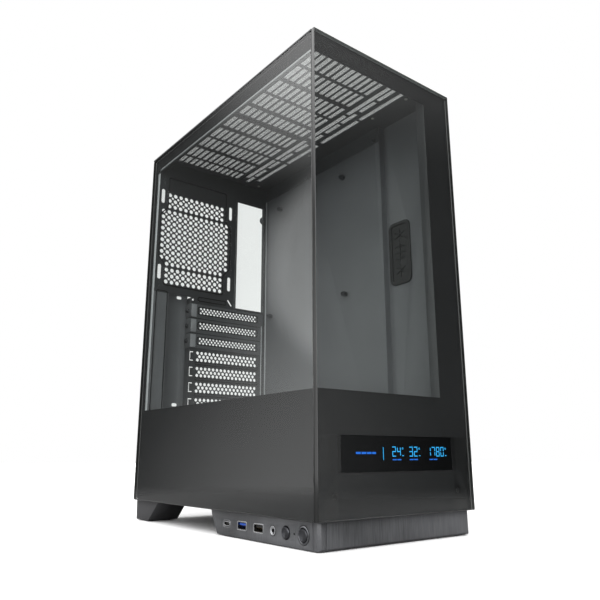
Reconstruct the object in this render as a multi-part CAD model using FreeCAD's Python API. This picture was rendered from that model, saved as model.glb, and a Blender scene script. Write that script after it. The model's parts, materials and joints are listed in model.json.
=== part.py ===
"""Mid tower computer case with a glass front and a glass left side.

Millimetres. The origin is the centre of the case's footprint on the floor, the front faces -Y,
the glass side faces -X and +Z is up.
"""
import FreeCAD, Part
import math
import os

from FreeCAD import Vector

# Overall sizes
case_width = 194.0
panel_depth = 345.0
panel_height = 441.0
base_height = 22.7
thumbscrew_reach = 8.0

# Stock and clearances
steel = 0.8
glass = 4.0
print_film = 0.3
panel_gap = 0.2
corner_gap = 0.3
slide_gap = 0.4
pin_gap = 0.3

# Printed borders of the glass
border_bottom = 104.0
border_top = 21.5
border_side_top = 20.0
border_rear = 18.0
border_right = 37.0
glass_corner = 2.4
front_glass_corner = 0.9

# Roof
roof_edge = 1.8
roof_recess = 4.2
roof_flange = 19.0
roof_front_setback = 25.0
filter_left = 13.0
filter_front = 13.0
filter_length = 312.0
filter_gap = 0.5
filter_rim = 6.0
filter_frame_height = 2.4
mesh_sheet = 0.4

# Roof grille
grille_first_x = 24.0
grille_pitch = 8.0
grille_right_room = 48.0
grille_slot = 5.6
grille_front = 22.5
grille_length = 54.5
grille_step = 61.0
grille_rows = 5
grille_end = 316.0
long_slots_from_right = (32.8, 13.2)
long_slot_length = 67.5
long_slot_step = 71.0
short_slot_from_right = 25.4
beads_from_right = (37.1, 19.1)
bead_width = 2.0
bead_height = 0.8

# Rear wall
rear_setback = 14.0
rear_return = 13.0
io_width = 44.5
io_height = 158.7
io_from_tray = 50.7
io_bottom = 250.1
fan_spacing = 105.0
fan_slot_width = 5.0
fan_slot_length = 20.0
fan_left = 10.3
fan_bottom = 282.5
vent_pitch_x = 8.08
vent_pitch_z = 8.05
vent_half = 5.4
vent_columns = 11
vent_rows = 16
vent_wide_rows = range(4, 13)
vent_first_x = 20.3
vent_first_z = 270.3

# Expansion slots
slot_count = 7
slot_cover_count = 3
slot_pitch = 20.32
slot_top_z = 237.7
slot_from_tray = 119.8
slot_length = 114.8
slot_plate = 18.4
slot_window_offset = 6.8
slot_window_length = 102.0
slot_window_height = 12.7
slot_vent_offset = 12.5
slot_vent_count = 5
slot_vent_pitch = 18.5
slot_vent_width = 14.2
slot_vent_height = 8.0
slot_ledge = 12.0
slot_screw_radius = 1.5
slot_screw_head = 3.2
slot_screw_head_height = 2.4

# Screw pocket left of the slots, and its cover
pocket_left = 25.4
pocket_bottom = 104.0
pocket_top = 255.0
pocket_foot = 16.0
pocket_depth = 12.5
pocket_overlap = 4.0
pocket_screw_inset = 10.0
pocket_screw_radius = 1.5
pocket_screw_head = 2.8
pocket_screw_head_height = 1.8
pocket_hole_corner = 1.2
pocket_hole_z = (113.7, 254.8)
pocket_hole_x = 46.6
pocket_hole_length = 7.0
pocket_hole_width = 4.0

# Motherboard tray
tray_right = 16.0
tray_step = 8.0
tray_step_front = 93.5
standoff_height = 6.35
standoff_across = 5.5
standoff_bore = 2.9
board_rows_z = (115.4, 242.4, 397.3)
board_front_from_wall = 172.5
board_rear_from_wall = 15.0
board_top_rear_from_wall = 37.9
tray_screw_from_wall = 96.0
tray_screw_from_step = 7.5
tray_screw_height = 4.3
tray_screw_radius = 1.5
tray_screw_head = 2.8
tray_screw_head_height = 1.8
tray_screw_reach = 3.0

# Cable grommet
grommet_y = 73.2
grommet_z = 275.1
grommet_width = 32.0
grommet_height = 75.0
grommet_corner = 5.0
grommet_rim = 4.0
grommet_lip = 1.6
grommet_sheet = 1.2
grommet_slit = 1.0

# Front frame and display
post_width = 37.0
frame_return = 11.0
front_plate_top = 103.0
display_width = 144.8
display_bottom = 36.6
display_height = 30.4
display_gap = 0.3
display_flange = 3.5
display_depth = 9.0
screen_depth = 1.2
display_corner = 1.2
display_flange_depth = 2.0

# Power supply bay
shroud_top = 100.0
pan_flange = 12.0
supply_left = 13.0
supply_width = 150.0
supply_height = 86.0
supply_pad = 2.0
supply_hole = 3.8
supply_edge = 3.0
supply_tab = 12.0
supply_low_tab = 114.0
supply_side_tab = 10.0
supply_screw_inset = 6.0
supply_screw_rise = 16.0
supply_low_screw = 120.0
pad_length = 20.0
pad_width = 8.0
cable_hole_length = 60.0
cable_hole_width = 24.0
intake_rows = 9
intake_slot_length = 88.0
intake_slot_width = 6.0
intake_pitch = 13.0
intake_rear = 31.0
drawer_width = 104.0
drawer_length = 150.0
drawer_height = 3.0
drawer_rim = 7.0
drawer_gap = 0.3
rail_lip = 3.0

# Glass studs and their clips
stud_radius = 2.8
stud_length = 8.0
stud_tip = 1.2
clip_size = 10.0
clip_neck = 7.6
clip_depth = 7.0
stud_inset = 8.5
stud_low = 37.3
stud_top = 10.0

# Right cover
cover_hem = 8.0
cover_lip = 14.0
thumbscrew_radius = 6.0
thumbscrew_shank = 1.8
thumbscrew_shank_length = 7.0
thumbscrew_inset = 8.0
thumbscrew_neck = 1.5
thumbscrew_edge = 1.0
thumbscrew_low = 40.0

# Base with the ports
base_inset = 4.7
base_right_inset = 4.0
base_length = 164.6
base_wall = 2.5
base_floor = 2.0
base_edge = 1.5
base_corner = 2.4
base_groove = 0.9
base_groove_offset = 7.0
base_slope = 10.5
base_slope_top = 4.5
base_slope_bottom = 2.4
pad_proud = 1.0
base_pad_length = 16.0
base_pad_width = 10.0
base_pad_corner = 3.0
boss_radius = 3.5
boss_bore = 1.4
boss_sides = 6
boss_inset = 8.0

# Ports and buttons on the left of the base, as distances behind the front glass
port_height = 11.5
usb_c_y = 139.9
usb3_y = 113.9
usb2_y = 87.4
audio_y = 66.0
reset_y = 47.3
light_y = 36.1
power_y = 24.0
port_gap = 0.3
port_recess = 0.2
usb_width = 14.5
usb_height = 7.0
usb_depth = 14.0
usb_shell = 0.6
usb_tongue = 1.9
usb_tongue_room = 0.7
socket_back = 2.0
tongue_setback = 1.0
usb_c_width = 9.2
usb_c_height = 3.4
usb_c_depth = 8.0
usb_c_shell = 0.4
usb_c_tongue = 0.7
usb_c_corner = 0.6
audio_radius = 4.4
audio_bore = 1.8
audio_depth = 13.0
audio_body = 10.0
power_ring_radius = 7.5
power_radius = 5.4
ring_proud = 0.6
ring_edge = 0.5
reset_radius = 5.4
button_gap = 0.3
button_proud = 1.4
button_dome = 0.5
button_crown = 2.0
round_sides = 16
knob_sides = 10
small_sides = 8
pin_sides = 6
button_flange = 1.2
button_flange_step = 1.0
button_stem = 1.5
button_travel = 1.5
light_radius = 0.8
board_thickness = 1.6
board_depth = 23.0
board_setback = 3.5
board_margin = 8.0
switch_size = 6.0
switch_button = 1.6
switch_setback = 8.0
switch_reach = 1.0

# Rear feet
foot_width = 37.0
foot_front = 286.9
foot_front_bottom = 310.9
foot_back_bottom = 343.0
foot_pad_inset = 5.0

# Planes that several pieces share
x_left = -case_width / 2
x_right = case_width / 2
y_front = -(panel_depth + thumbscrew_reach) / 2
y_back = y_front + panel_depth
z_bottom = base_height
z_top = z_bottom + panel_height
x_glass = x_left + glass
y_glass = y_front + glass
x_frame = x_glass + print_film + panel_gap
y_frame = y_glass + print_film + panel_gap
x_cover = x_right - steel
x_chassis = x_cover - steel - slide_gap
y_wall = y_back - rear_setback
y_side = y_glass + print_film + corner_gap
z_side_top = z_top - roof_edge - panel_gap
z_rim = z_top - steel
z_roof = z_top - roof_recess - steel
z_pan = z_bottom + steel
x_tray = x_right - tray_right
y_tray_step = y_front + tray_step_front
z_shroud = z_bottom + shroud_top
z_front_plate = z_bottom + front_plate_top
x_post = x_right - post_width
x_filter = x_left + filter_left
filter_width = x_post - x_filter
y_filter = y_front + filter_front
x_ledge = x_tray - slot_from_tray
x_pocket = x_left + pocket_left
x_base = x_left + base_inset
y_base = y_front + base_inset
z_base_floor = pad_proud + base_floor
x_board = x_base + base_wall + board_setback
z_board = port_height - usb_height / 2 - board_thickness
z_foot = pad_proud
x_display = -display_width / 2
z_display = z_bottom + display_bottom
y_intake = y_wall - intake_rear - intake_slot_width - intake_pitch * (intake_rows - 1)


def at(plane, u, v, w):
    """The point u, v of a plane that lies w along the plane's normal."""
    if plane == "rear":
        return Vector(u, w, v)
    if plane == "side":
        return Vector(w, u, v)
    return Vector(u, v, w)


def block(x0, x1, y0, y1, z0, z1):
    """A plain block between two corners."""
    return Part.makeBox(x1 - x0, y1 - y0, z1 - z0, Vector(x0, y0, z0))


def polygon(plane, w, corners):
    """A closed outline through corners given in the plane."""
    points = [at(plane, u, v, w) for u, v in corners]
    return Part.makePolygon(points + points[:1])


def rectangle(plane, w, u0, u1, v0, v1):
    """A closed rectangle in the plane."""
    return polygon(plane, w, [(u0, v0), (u1, v0), (u1, v1), (u0, v1)])


def rounded(plane, w, u0, u1, v0, v1, radius):
    """A closed rectangle with round corners, or an obround where the radius is half its width."""
    corners = [
        (u1 - radius, v0 + radius, -90),
        (u1 - radius, v1 - radius, 0),
        (u0 + radius, v1 - radius, 90),
        (u0 + radius, v0 + radius, 180),
    ]
    bends = []
    for u, v, start in corners:
        turns = [math.radians(start + turn) for turn in (0, 45, 90)]
        bends.append([at(plane, u + radius * math.cos(a), v + radius * math.sin(a), w) for a in turns])
    edges = []
    for bend, following in zip(bends, bends[1:] + bends[:1]):
        edges.append(Part.Arc(*bend).toShape())
        if bend[2].distanceToPoint(following[0]) > 1e-6:
            edges.append(Part.LineSegment(bend[2], following[0]).toShape())
    return Part.Wire(edges)


def chamfered(plane, w, u0, u1, v0, v1, cut):
    """A closed rectangle with its corners cut off."""
    return polygon(plane, w, [
        (u0 + cut, v0), (u1 - cut, v0), (u1, v0 + cut), (u1, v1 - cut), (u1 - cut, v1), (u0 + cut, v1),
        (u0, v1 - cut), (u0, v0 + cut)])


def diamond(plane, w, u, v, half):
    """A square outline that stands on its corner."""
    return polygon(plane, w, [(u - half, v), (u, v - half), (u + half, v), (u, v + half)])


def many_sided(plane, w, u, v, radius, sides):
    """A regular outline round a point, with its corners at the radius."""
    turns = [2 * math.pi * (index + 0.5) / sides for index in range(sides)]
    return polygon(plane, w, [(u + radius * math.cos(a), v + radius * math.sin(a)) for a in turns])


def ring(plane, w, u, v, radius):
    """A circle in the plane."""
    edge = Part.makeCircle(radius, at(plane, u, v, w), at(plane, 0, 0, 1))
    return Part.Wire(edge)


def plate(plane, thickness, outline, holes=()):
    """A flat sheet of some thickness, from its outline and the outlines of its holes."""
    face = Part.makeFace([outline, *holes], "Part::FaceMakerBullseye")
    return face.extrude(at(plane, 0, 0, thickness))


def join(pieces):
    """One solid from pieces that meet."""
    return pieces[0].multiFuse(pieces[1:]).removeSplitter()


def group(pieces):
    """Separate solids of one kind, kept together."""
    return Part.makeCompound(pieces)


def faceted(plane, u, v, sides, profile):
    """A closed piece with flat facets about the plane's normal, from its w, radius profile."""
    turns = [2 * math.pi * (index + 0.5) / sides for index in range(sides)]
    rings = [[at(plane, u + r * math.cos(a), v + r * math.sin(a), w) for a in turns] for w, r in profile]
    outlines = [rings[0], rings[-1]]
    for low, high in zip(rings, rings[1:]):
        outlines += [[low[k - 1], low[k], high[k], high[k - 1]] for k in range(sides)]
    shell = Part.Shell([Part.Face(Part.makePolygon(corners + corners[:1])) for corners in outlines])
    shell.sewShape()
    solid = Part.Solid(shell)
    if solid.Volume < 0:
        solid.reverse()
    return solid.removeSplitter()


def left_stud_places():
    """Y, Z of each stud that holds the left glass."""
    front_y = y_frame + roof_front_setback + stud_inset
    rear_y = y_wall + clip_size / 2 + steel + panel_gap
    low_z = z_bottom + stud_low
    high_z = z_top - stud_top
    return [(front_y, high_z), (rear_y, high_z - clip_size), (front_y, low_z), (rear_y, low_z)]


def front_stud_places():
    """X, Z of each stud that holds the front glass."""
    left = x_frame + 2 * stud_inset
    right = x_chassis - 2 * stud_inset
    low_z = z_bottom + display_bottom / 2
    high_z = z_top - stud_top
    return [(left, high_z), (right, high_z), (left, low_z), (right, low_z)]


def clip_hole(plane, w, u, v):
    """The square hole that a clip's neck snaps into."""
    half = clip_neck / 2 + panel_gap
    return rectangle(plane, w, u - half, u + half, v - half, v + half)


def bottom_pan():
    """The floor of the chassis, with its turned-up left edge, the intake vent and the filter's rails."""
    half = intake_slot_length / 2
    holes = []
    for row in range(intake_rows):
        y = y_intake + intake_pitch * row
        holes.append(rectangle("flat", z_bottom, -half, half, y, y + intake_slot_width))
    cable_y = y_base + base_length / 2
    cable_x = x_board + board_depth + boss_inset
    holes.append(many_sided("flat", z_bottom, cable_x, cable_y, cable_hole_width / 2, round_sides))
    floor_end = y_back - steel - panel_gap
    floor = plate("flat", steel, rectangle("flat", z_bottom, x_frame, x_chassis, y_frame, floor_end), holes)
    left = block(x_frame, x_frame + steel, y_frame + steel, y_wall - panel_gap, z_bottom,
                 z_bottom + pan_flange)
    pieces = [floor, left]
    front = y_intake - drawer_rim
    back = front + drawer_length
    low = z_bottom - drawer_height - 2 * drawer_gap
    for side in (-1, 1):
        edge = side * (drawer_width / 2 + drawer_gap)
        outer = edge + side * steel
        tip = edge - side * rail_lip
        pieces.append(block(min(edge, outer), max(edge, outer), front, back, low - steel, z_pan))
        pieces.append(block(min(tip, outer), max(tip, outer), front, back, low - steel, low))
    return join(pieces)


def supply_outline(w):
    """The stepped hole for a power supply, with a tab left round each of its screws."""
    x = x_left + supply_left
    z = z_pan + supply_pad
    edge = supply_edge
    tab = supply_tab
    low_end = supply_low_tab + tab
    side_end = supply_side_tab + tab
    high = supply_height - tab
    wide = supply_width - tab
    corners = [
        (edge, edge), (supply_low_tab, edge), (supply_low_tab, tab), (low_end, tab), (low_end, edge),
        (supply_width - edge, edge), (supply_width - edge, high), (wide, high), (wide, supply_height - edge),
        (tab, supply_height - edge), (tab, high), (edge, high), (edge, side_end),
        (tab, side_end), (tab, supply_side_tab), (edge, supply_side_tab),
    ]
    return polygon("rear", w, [(x + u, z + v) for u, v in corners])


def slot_z(index):
    """Height of an expansion slot's middle, counted from the top."""
    return z_bottom + slot_top_z - slot_pitch * index


def slot_vents(w, index):
    """The row of vents in one expansion slot."""
    z = slot_z(index)
    half = slot_vent_height / 2
    vents = []
    for step in range(slot_vent_count):
        x = x_ledge + slot_vent_offset + slot_vent_pitch * step
        vents.append(rectangle("rear", w, x, x + slot_vent_width, z - half, z + half))
    return vents


def fan_vent_places():
    """X, Z of each opening of the fan vent: every second place of its rows, wider at the fan's middle."""
    places = []
    for row in range(vent_rows):
        extra = 1 if row in vent_wide_rows else 0
        for column in range(-extra, vent_columns + extra):
            if (row + column) % 2 == 0:
                x = x_left + vent_first_x + vent_pitch_x * column
                z = z_bottom + vent_first_z + vent_pitch_z * row
                places.append((x, z))
    return places


def fan_panel_holes():
    """The vent and the four upright screw slots of the rear fan."""
    w = y_wall
    holes = [diamond("rear", w, x, z, vent_half) for x, z in fan_vent_places()]
    half_width = fan_slot_width / 2
    half_length = fan_slot_length / 2
    for x in (x_left + fan_left, x_left + fan_left + fan_spacing):
        for z in (z_bottom + fan_bottom, z_bottom + fan_bottom + fan_spacing):
            holes.append(rounded("rear", w, x - half_width, x + half_width, z - half_length, z + half_length,
                                 half_width))
    return holes


def supply_panel_holes():
    """The power supply's stepped hole and its four screw holes."""
    w = y_wall
    radius = supply_hole / 2
    holes = [supply_outline(w)]
    holes += [ring("rear", w, x, z, radius) for x, z in supply_top_screws()]
    holes += [many_sided("rear", w, x, z, radius, small_sides) for x, z in supply_low_screws()]
    return holes


def slot_panel_holes():
    """The windows behind the separate slot covers, and the vents of the punched slots."""
    x_window = x_ledge + slot_window_offset
    half = slot_window_height / 2
    holes = []
    for index in range(slot_cover_count):
        z = slot_z(index)
        holes.append(rectangle("rear", y_wall, x_window, x_window + slot_window_length, z - half, z + half))
    for index in range(slot_cover_count, slot_count):
        holes.extend(slot_vents(y_wall, index))
    return holes


def wall_panels():
    """The flat of the rear wall in the panels that its port hole and its screw pocket divide it into."""
    x_io = x_tray - io_from_tray
    z_io = z_bottom + io_bottom
    z_io_top = z_io + io_height
    z_pocket = z_bottom + pocket_bottom
    z_pocket_top = z_bottom + pocket_top
    panels = [
        (x_frame, x_io, z_pocket_top, z_rim, fan_panel_holes()),
        (x_io, x_chassis, z_io_top, z_rim, []),
        (x_io + io_width, x_chassis, z_io, z_io_top, []),
        (x_ledge, x_io, z_io, z_pocket_top, []),
        (x_ledge, x_chassis, z_pocket, z_io, slot_panel_holes()),
        (x_frame, x_pocket, z_pocket, z_pocket_top, []),
    ]
    return [plate("rear", steel, rectangle("rear", y_wall, x0, x1, z0, z1), holes)
            for x0, x1, z0, z1, holes in panels]


def supply_panel():
    """The lower panel of the rear wall, which a power supply is screwed to."""
    outline = rectangle("rear", y_wall, x_frame, x_chassis, z_pan, z_bottom + pocket_bottom)
    return plate("rear", steel, outline, supply_panel_holes())


def rear_wall():
    """The folded rear wall, as touching flat panels: its flat, its flanges and the screw ledge."""
    fold = y_wall + steel
    back = y_back - slide_gap
    left_holes = [clip_hole("side", x_frame, y, z) for y, z in left_stud_places() if y > y_wall]
    left = plate("side", steel, rectangle("side", x_frame, fold, back, z_pan, z_rim), left_holes)
    lip_front = y_back - 2 * steel - panel_gap
    right = block(x_chassis - steel, x_chassis, fold, lip_front, z_pan, z_rim)
    screw_holes = [many_sided("rear", lip_front, x, z, thumbscrew_shank + pin_gap, small_sides)
                   for x, z in thumbscrew_places()]
    rear_lip = plate("rear", steel, rectangle("rear", lip_front, x_chassis - rear_return, x_chassis,
                                              z_pan, z_rim), screw_holes)
    top = block(x_frame + steel, x_chassis - rear_return, fold, back, z_rim - steel, z_rim)
    hole = slot_screw_radius + panel_gap
    ledge_holes = [rectangle("side", x_ledge, y - hole, y + hole, z - hole, z + hole)
                   for y, z in slot_screw_places()]
    ledge_outline = rectangle("side", x_ledge, fold, y_wall + slot_ledge, z_bottom + pocket_bottom,
                              z_bottom + pocket_top)
    ledge = plate("side", steel, ledge_outline, ledge_holes)
    return group([*wall_panels(), left, right, rear_lip, top, ledge])


def supply_top_screws():
    """X, Z of the two upper screw holes of a power supply."""
    x = x_left + supply_left
    z = z_pan + supply_pad + supply_height - supply_screw_inset
    return [(x + supply_screw_inset, z), (x + supply_width - supply_screw_inset, z)]


def supply_low_screws():
    """X, Z of the two lower screw holes of a power supply."""
    x = x_left + supply_left
    z = z_pan + supply_pad
    return [(x + supply_screw_inset, z + supply_screw_rise), (x + supply_low_screw, z + supply_screw_inset)]


def slot_screw_places():
    """Y, Z of the screw of each separate slot cover."""
    return [(y_wall + slot_ledge / 2 + steel, slot_z(index)) for index in range(slot_cover_count)]


def slot_cover(index):
    """A removable vented slot cover with its folded, notched screw tab."""
    z = slot_z(index)
    half = slot_plate / 2
    front = y_wall - steel
    x_tab = x_ledge - steel
    face = plate("rear", steel, rectangle("rear", front, x_tab, x_ledge + slot_length, z - half, z + half),
                 slot_vents(front, index))
    y, _ = slot_screw_places()[index]
    notch = slot_screw_radius + pin_gap
    tab_end = y_wall + slot_ledge
    tab = plate("side", steel, polygon("side", x_tab, [
        (front, z - half), (tab_end, z - half), (tab_end, z - notch), (y - notch, z - notch),
        (y - notch, z + notch), (tab_end, z + notch), (tab_end, z + half), (front, z + half)]))
    return join([face, tab])


def slot_cover_screws():
    """The screws that hold the slot covers to the ledge."""
    seat = x_ledge - steel
    profile = [(seat - slot_screw_head_height, slot_screw_head), (seat, slot_screw_head),
               (seat, slot_screw_radius), (x_ledge + 3 * steel, slot_screw_radius)]
    return group([faceted("side", y, z, pin_sides, profile) for y, z in slot_screw_places()])


def slot_screw_cover():
    """The bent plate behind the pocket, over the heads of the slot screws."""
    low = z_bottom + pocket_bottom - pocket_overlap
    high = z_bottom + pocket_top + pocket_overlap
    outer = y_wall + steel
    back = outer + pocket_depth
    x_bend = x_pocket - steel
    x = x_left + pocket_hole_x
    half_length = pocket_hole_length / 2
    half_width = pocket_hole_width / 2
    holes = [chamfered("rear", back - steel, x - half_length, x + half_length, z_bottom + z - half_width,
                       z_bottom + z + half_width, pocket_hole_corner) for z in pocket_hole_z]
    main = plate("rear", steel, rectangle("rear", back - steel, x_bend, x_ledge + steel, low, high), holes)
    side = block(x_bend, x_pocket, outer, back, low, high)
    foot_holes = [many_sided("rear", outer, u, v, pocket_screw_radius + pin_gap, small_sides)
                  for u, v in pocket_screw_places()]
    foot = plate("rear", steel, rectangle("rear", outer, x_pocket - pocket_foot, x_pocket, low, high),
                 foot_holes)
    return join([main, side, foot])


def pocket_screw_places():
    """X, Z of the screws of the plate over the slot screws."""
    x = x_pocket - pocket_foot / 2
    low = z_bottom + pocket_bottom + pocket_screw_inset
    high = z_bottom + pocket_top - pocket_screw_inset
    return [(x, low), (x, high)]


def pocket_screws():
    """The screws of the plate over the slot screws."""
    seat = y_wall + 2 * steel
    profile = [(y_wall + steel, pocket_screw_radius), (seat, pocket_screw_radius), (seat, pocket_screw_head),
               (seat + pocket_screw_head_height, pocket_screw_head)]
    return group([faceted("rear", x, z, pin_sides, profile) for x, z in pocket_screw_places()])


def grille_slots(w):
    """The outlines of every slot of the roof grille."""
    slots = []
    half = grille_slot / 2
    last = y_front + grille_end
    columns = int((filter_width - grille_right_room) / grille_pitch)
    xs = [x_left + grille_first_x + grille_pitch * index for index in range(columns)]
    xs.append(x_post - short_slot_from_right)
    for row in range(grille_rows):
        start = y_front + grille_front + grille_step * row
        end = min(start + grille_length, last)
        slots += [rectangle("flat", w, x - half, x + half, start, end) for x in xs]
    for offset in long_slots_from_right:
        x = x_post - offset
        start = y_front + grille_front
        while start < last - grille_length / 2:
            end = min(start + long_slot_length, last)
            slots.append(rectangle("flat", w, x - half, x + half, start, end))
            start += long_slot_step
    return slots


def roof_panel():
    """The pressed roof: a rim, a recess with the grille, and flanges on every side."""
    x0 = x_filter
    x1 = x_filter + filter_width
    y0 = y_filter
    y1 = y_filter + filter_length
    back = y_back
    rim = plate("flat", steel, rectangle("flat", z_rim, x_left, x_right, y_frame, back),
                [rectangle("flat", z_rim, x0, x1, y0, y1)])
    outline = rectangle("flat", z_roof, x0 - steel, x1 + steel, y0 - steel, y1 + steel)
    tray_plate = plate("flat", steel, outline, grille_slots(z_roof))
    walls = plate("flat", z_rim - z_roof, outline, [rectangle("flat", z_roof, x0, x1, y0, y1)])
    left_edge = block(x_left, x_left + steel, y_frame, back, z_top - roof_edge, z_top)
    right_edge = block(x_right - steel, x_right, y_frame, back, z_top - roof_edge, z_top)
    low = z_rim - roof_flange
    left_holes = [clip_hole("side", x_frame, y, z) for y, z in left_stud_places()
                  if y < y_wall and z > z_shroud]
    left = plate("side", steel, rectangle("side", x_frame, y_frame + roof_front_setback, y_wall - panel_gap,
                                          low, z_rim), left_holes)
    front_holes = [clip_hole("rear", y_frame, x, z) for x, z in front_stud_places() if x < 0 and z > z_shroud]
    front = plate("rear", steel, rectangle("rear", y_frame, x_frame, x_post - panel_gap, low, z_rim),
                  front_holes)
    tray_holes = tray_screw_holes(x_tray - steel)
    tray_flange = plate("side", steel, rectangle("side", x_tray - steel, y_tray_step + panel_gap,
                                                 y_wall - panel_gap, low, z_rim), tray_holes)
    right_front = y_frame + frame_return + panel_gap
    right = block(x_chassis - steel, x_chassis, right_front, y_wall - panel_gap, low, z_rim)
    beads = []
    for offset in beads_from_right:
        x = x_post - offset
        profile = [(x - bead_width / 2, z_roof), (x, z_roof - bead_height), (x + bead_width / 2, z_roof)]
        bead = Part.Face(polygon("rear", y_front + grille_front, profile))
        beads.append(bead.extrude(Vector(0, grille_end - grille_front, 0)))
    return join([rim, tray_plate, walls, left_edge, right_edge, left, front, tray_flange, right, *beads])


def tray_screw_places():
    """Y, Z of the screws that tie the tray to the roof."""
    z = z_rim - roof_flange + tray_screw_height
    return [(y_wall - tray_screw_from_wall, z), (y_tray_step + tray_screw_from_step, z)]


def tray_screw_holes(w):
    """The holes of the screws that tie the tray to the roof."""
    radius = tray_screw_radius + panel_gap
    return [many_sided("side", w, y, z, radius, small_sides) for y, z in tray_screw_places()]


def tray_screws():
    """The screws that tie the tray to the roof."""
    seat = x_tray - steel
    profile = [(seat - tray_screw_head_height, tray_screw_head), (seat, tray_screw_head),
               (seat, tray_screw_radius), (seat + tray_screw_reach, tray_screw_radius)]
    return group([faceted("side", y, z, pin_sides, profile) for y, z in tray_screw_places()])


def motherboard_tray():
    """The steel tray that carries the motherboard, stepped back near the front."""
    main = plate("side", steel, rectangle("side", x_tray, y_tray_step, y_wall, z_pan, z_rim),
                 tray_screw_holes(x_tray))
    x_front = x_tray + tray_step
    step = block(x_tray, x_front + steel, y_tray_step - steel, y_tray_step, z_pan, z_rim)
    opening = grommet_opening("side", x_front, panel_gap)
    front = plate("side", steel, rectangle("side", x_front, y_frame + steel, y_tray_step, z_pan, z_rim),
                  [opening])
    return join([main, step, front])


def grommet_opening(plane, w, gap):
    """The hole in the tray that the grommet's groove holds."""
    return grommet_outline(plane, w, grommet_rim / 2 - gap)


def grommet_outline(plane, w, inset):
    """The grommet's outline, drawn in by an inset."""
    half_width = grommet_width / 2 - inset
    half_height = grommet_height / 2 - inset
    y = y_front + grommet_y
    z = z_bottom + grommet_z
    return chamfered(plane, w, y - half_width, y + half_width, z - half_height, z + half_height,
                     grommet_corner - inset / 2)


def cable_grommet():
    """The rubber grommet, with a lip each side of the tray and a slit membrane."""
    x_front = x_tray + tray_step
    y = y_front + grommet_y
    z = z_bottom + grommet_z
    pieces = []
    for start in (x_front - grommet_lip, x_front + steel):
        pieces.append(plate("side", grommet_lip, grommet_outline("side", start, 0),
                            [grommet_outline("side", start, grommet_rim)]))
    pieces.append(plate("side", steel, grommet_opening("side", x_front, 0),
                        [grommet_outline("side", x_front, grommet_rim)]))
    half = grommet_slit / 2
    star = grommet_height / 2 - 4 * grommet_rim
    reach = grommet_width / 2 - 2 * grommet_rim
    w = x_front - panel_gap
    slits = [rectangle("side", w, y - half, y + half, z - star, z + star)]
    for middle in (z - star - grommet_rim, z + star + grommet_rim):
        slits.append(rectangle("side", w, y - reach, y + reach, middle - half, middle + half))
    pieces.append(plate("side", grommet_sheet, grommet_outline("side", w, grommet_rim), slits))
    return join(pieces)


def standoff_places():
    """Y, Z of the four lower standoffs, which a motherboard of every size uses."""
    places = []
    for from_wall in (board_front_from_wall, board_rear_from_wall):
        places += [(y_wall - from_wall, z_bottom + z) for z in board_rows_z[:2]]
    return places


def top_standoff_places():
    """Y, Z of the two standoffs under the top edge of a motherboard."""
    z = z_bottom + board_rows_z[2]
    return [(y_wall - board_front_from_wall, z), (y_wall - board_top_rear_from_wall, z)]


def motherboard_standoffs():
    """The hexagonal standoffs that a motherboard is screwed to."""
    start = x_tray - standoff_height
    radius = standoff_across / math.sqrt(3)
    bore = standoff_bore / 2
    pieces = []
    for y, z in standoff_places():
        pieces.append(plate("side", standoff_height, many_sided("side", start, y, z, radius, pin_sides),
                            [ring("side", start, y, z, bore)]))
    for y, z in top_standoff_places():
        pieces.append(plate("side", standoff_height, many_sided("side", start, y, z, radius, pin_sides),
                            [many_sided("side", start, y, z, bore, pin_sides)]))
    return group(pieces)


def front_frame():
    """The steel frame behind the front glass: a right post and a lower plate with the display hole."""
    w = y_frame
    top = z_rim
    outline = polygon("rear", w, [
        (x_frame, z_pan), (x_chassis, z_pan), (x_chassis, top), (x_post, top), (x_post, z_front_plate),
        (x_frame, z_front_plate)])
    gap = display_gap
    holes = [rectangle("rear", w, x_display - gap, x_display + display_width + gap, z_display - gap,
                       z_display + display_height + gap)]
    holes += [clip_hole("rear", w, u, v) for u, v in front_stud_places() if u > 0 or v < z_shroud]
    face = plate("rear", steel, outline, holes)
    back = w + frame_return
    right = block(x_chassis - steel, x_chassis, w, back, z_pan, top)
    post = block(x_post, x_post + steel, w, back, z_front_plate - steel, z_roof - panel_gap)
    shelf = block(x_frame, x_post + steel, w, back, z_front_plate - steel, z_front_plate)
    return join([face, right, post, shelf])


def power_supply_shroud():
    """The cover over the power supply bay, with its left wall and two cable holes."""
    x_end = x_tray - panel_gap
    x_hole = x_end - boss_inset
    half = cable_hole_length / 2
    z = z_shroud - steel
    front = y_frame + steel
    holes = []
    for middle in (y_front + panel_depth / 3, y_wall - panel_depth / 4):
        holes.append(chamfered("flat", z, x_hole - cable_hole_width, x_hole, middle - half, middle + half,
                               grommet_corner))
    top = plate("flat", steel, rectangle("flat", z, x_frame, x_end, front, y_wall), holes)
    low = z_bottom + pan_flange
    clip_holes = [clip_hole("side", x_frame, u, v) for u, v in left_stud_places()
                  if u < y_wall and v < z_shroud]
    left = plate("side", steel, rectangle("side", x_frame, front, y_wall - panel_gap, low, z_shroud),
                 clip_holes)
    return join([top, left])


def left_glass_pane():
    """The clear left panel."""
    outline = chamfered("side", x_left, y_side, y_back, z_bottom, z_side_top, glass_corner)
    return plate("side", glass, outline)


def left_glass_border():
    """The black printed border on the inner face of the left glass, open at its front edge."""
    y_in = y_back - border_rear
    z_low = z_bottom + border_bottom
    z_high = z_side_top - border_side_top + panel_gap
    r = panel_gap
    return plate("side", print_film, polygon("side", x_glass, [
        (y_side + glass_corner, z_bottom + r), (y_back - glass_corner, z_bottom + r),
        (y_back - r, z_bottom + glass_corner), (y_back - r, z_side_top - glass_corner),
        (y_back - glass_corner, z_side_top - r), (y_side + glass_corner, z_side_top - r),
        (y_side + r, z_side_top - glass_corner), (y_side + r, z_high), (y_in, z_high), (y_in, z_low),
        (y_side + r, z_low), (y_side + r, z_bottom + glass_corner)]))


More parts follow.
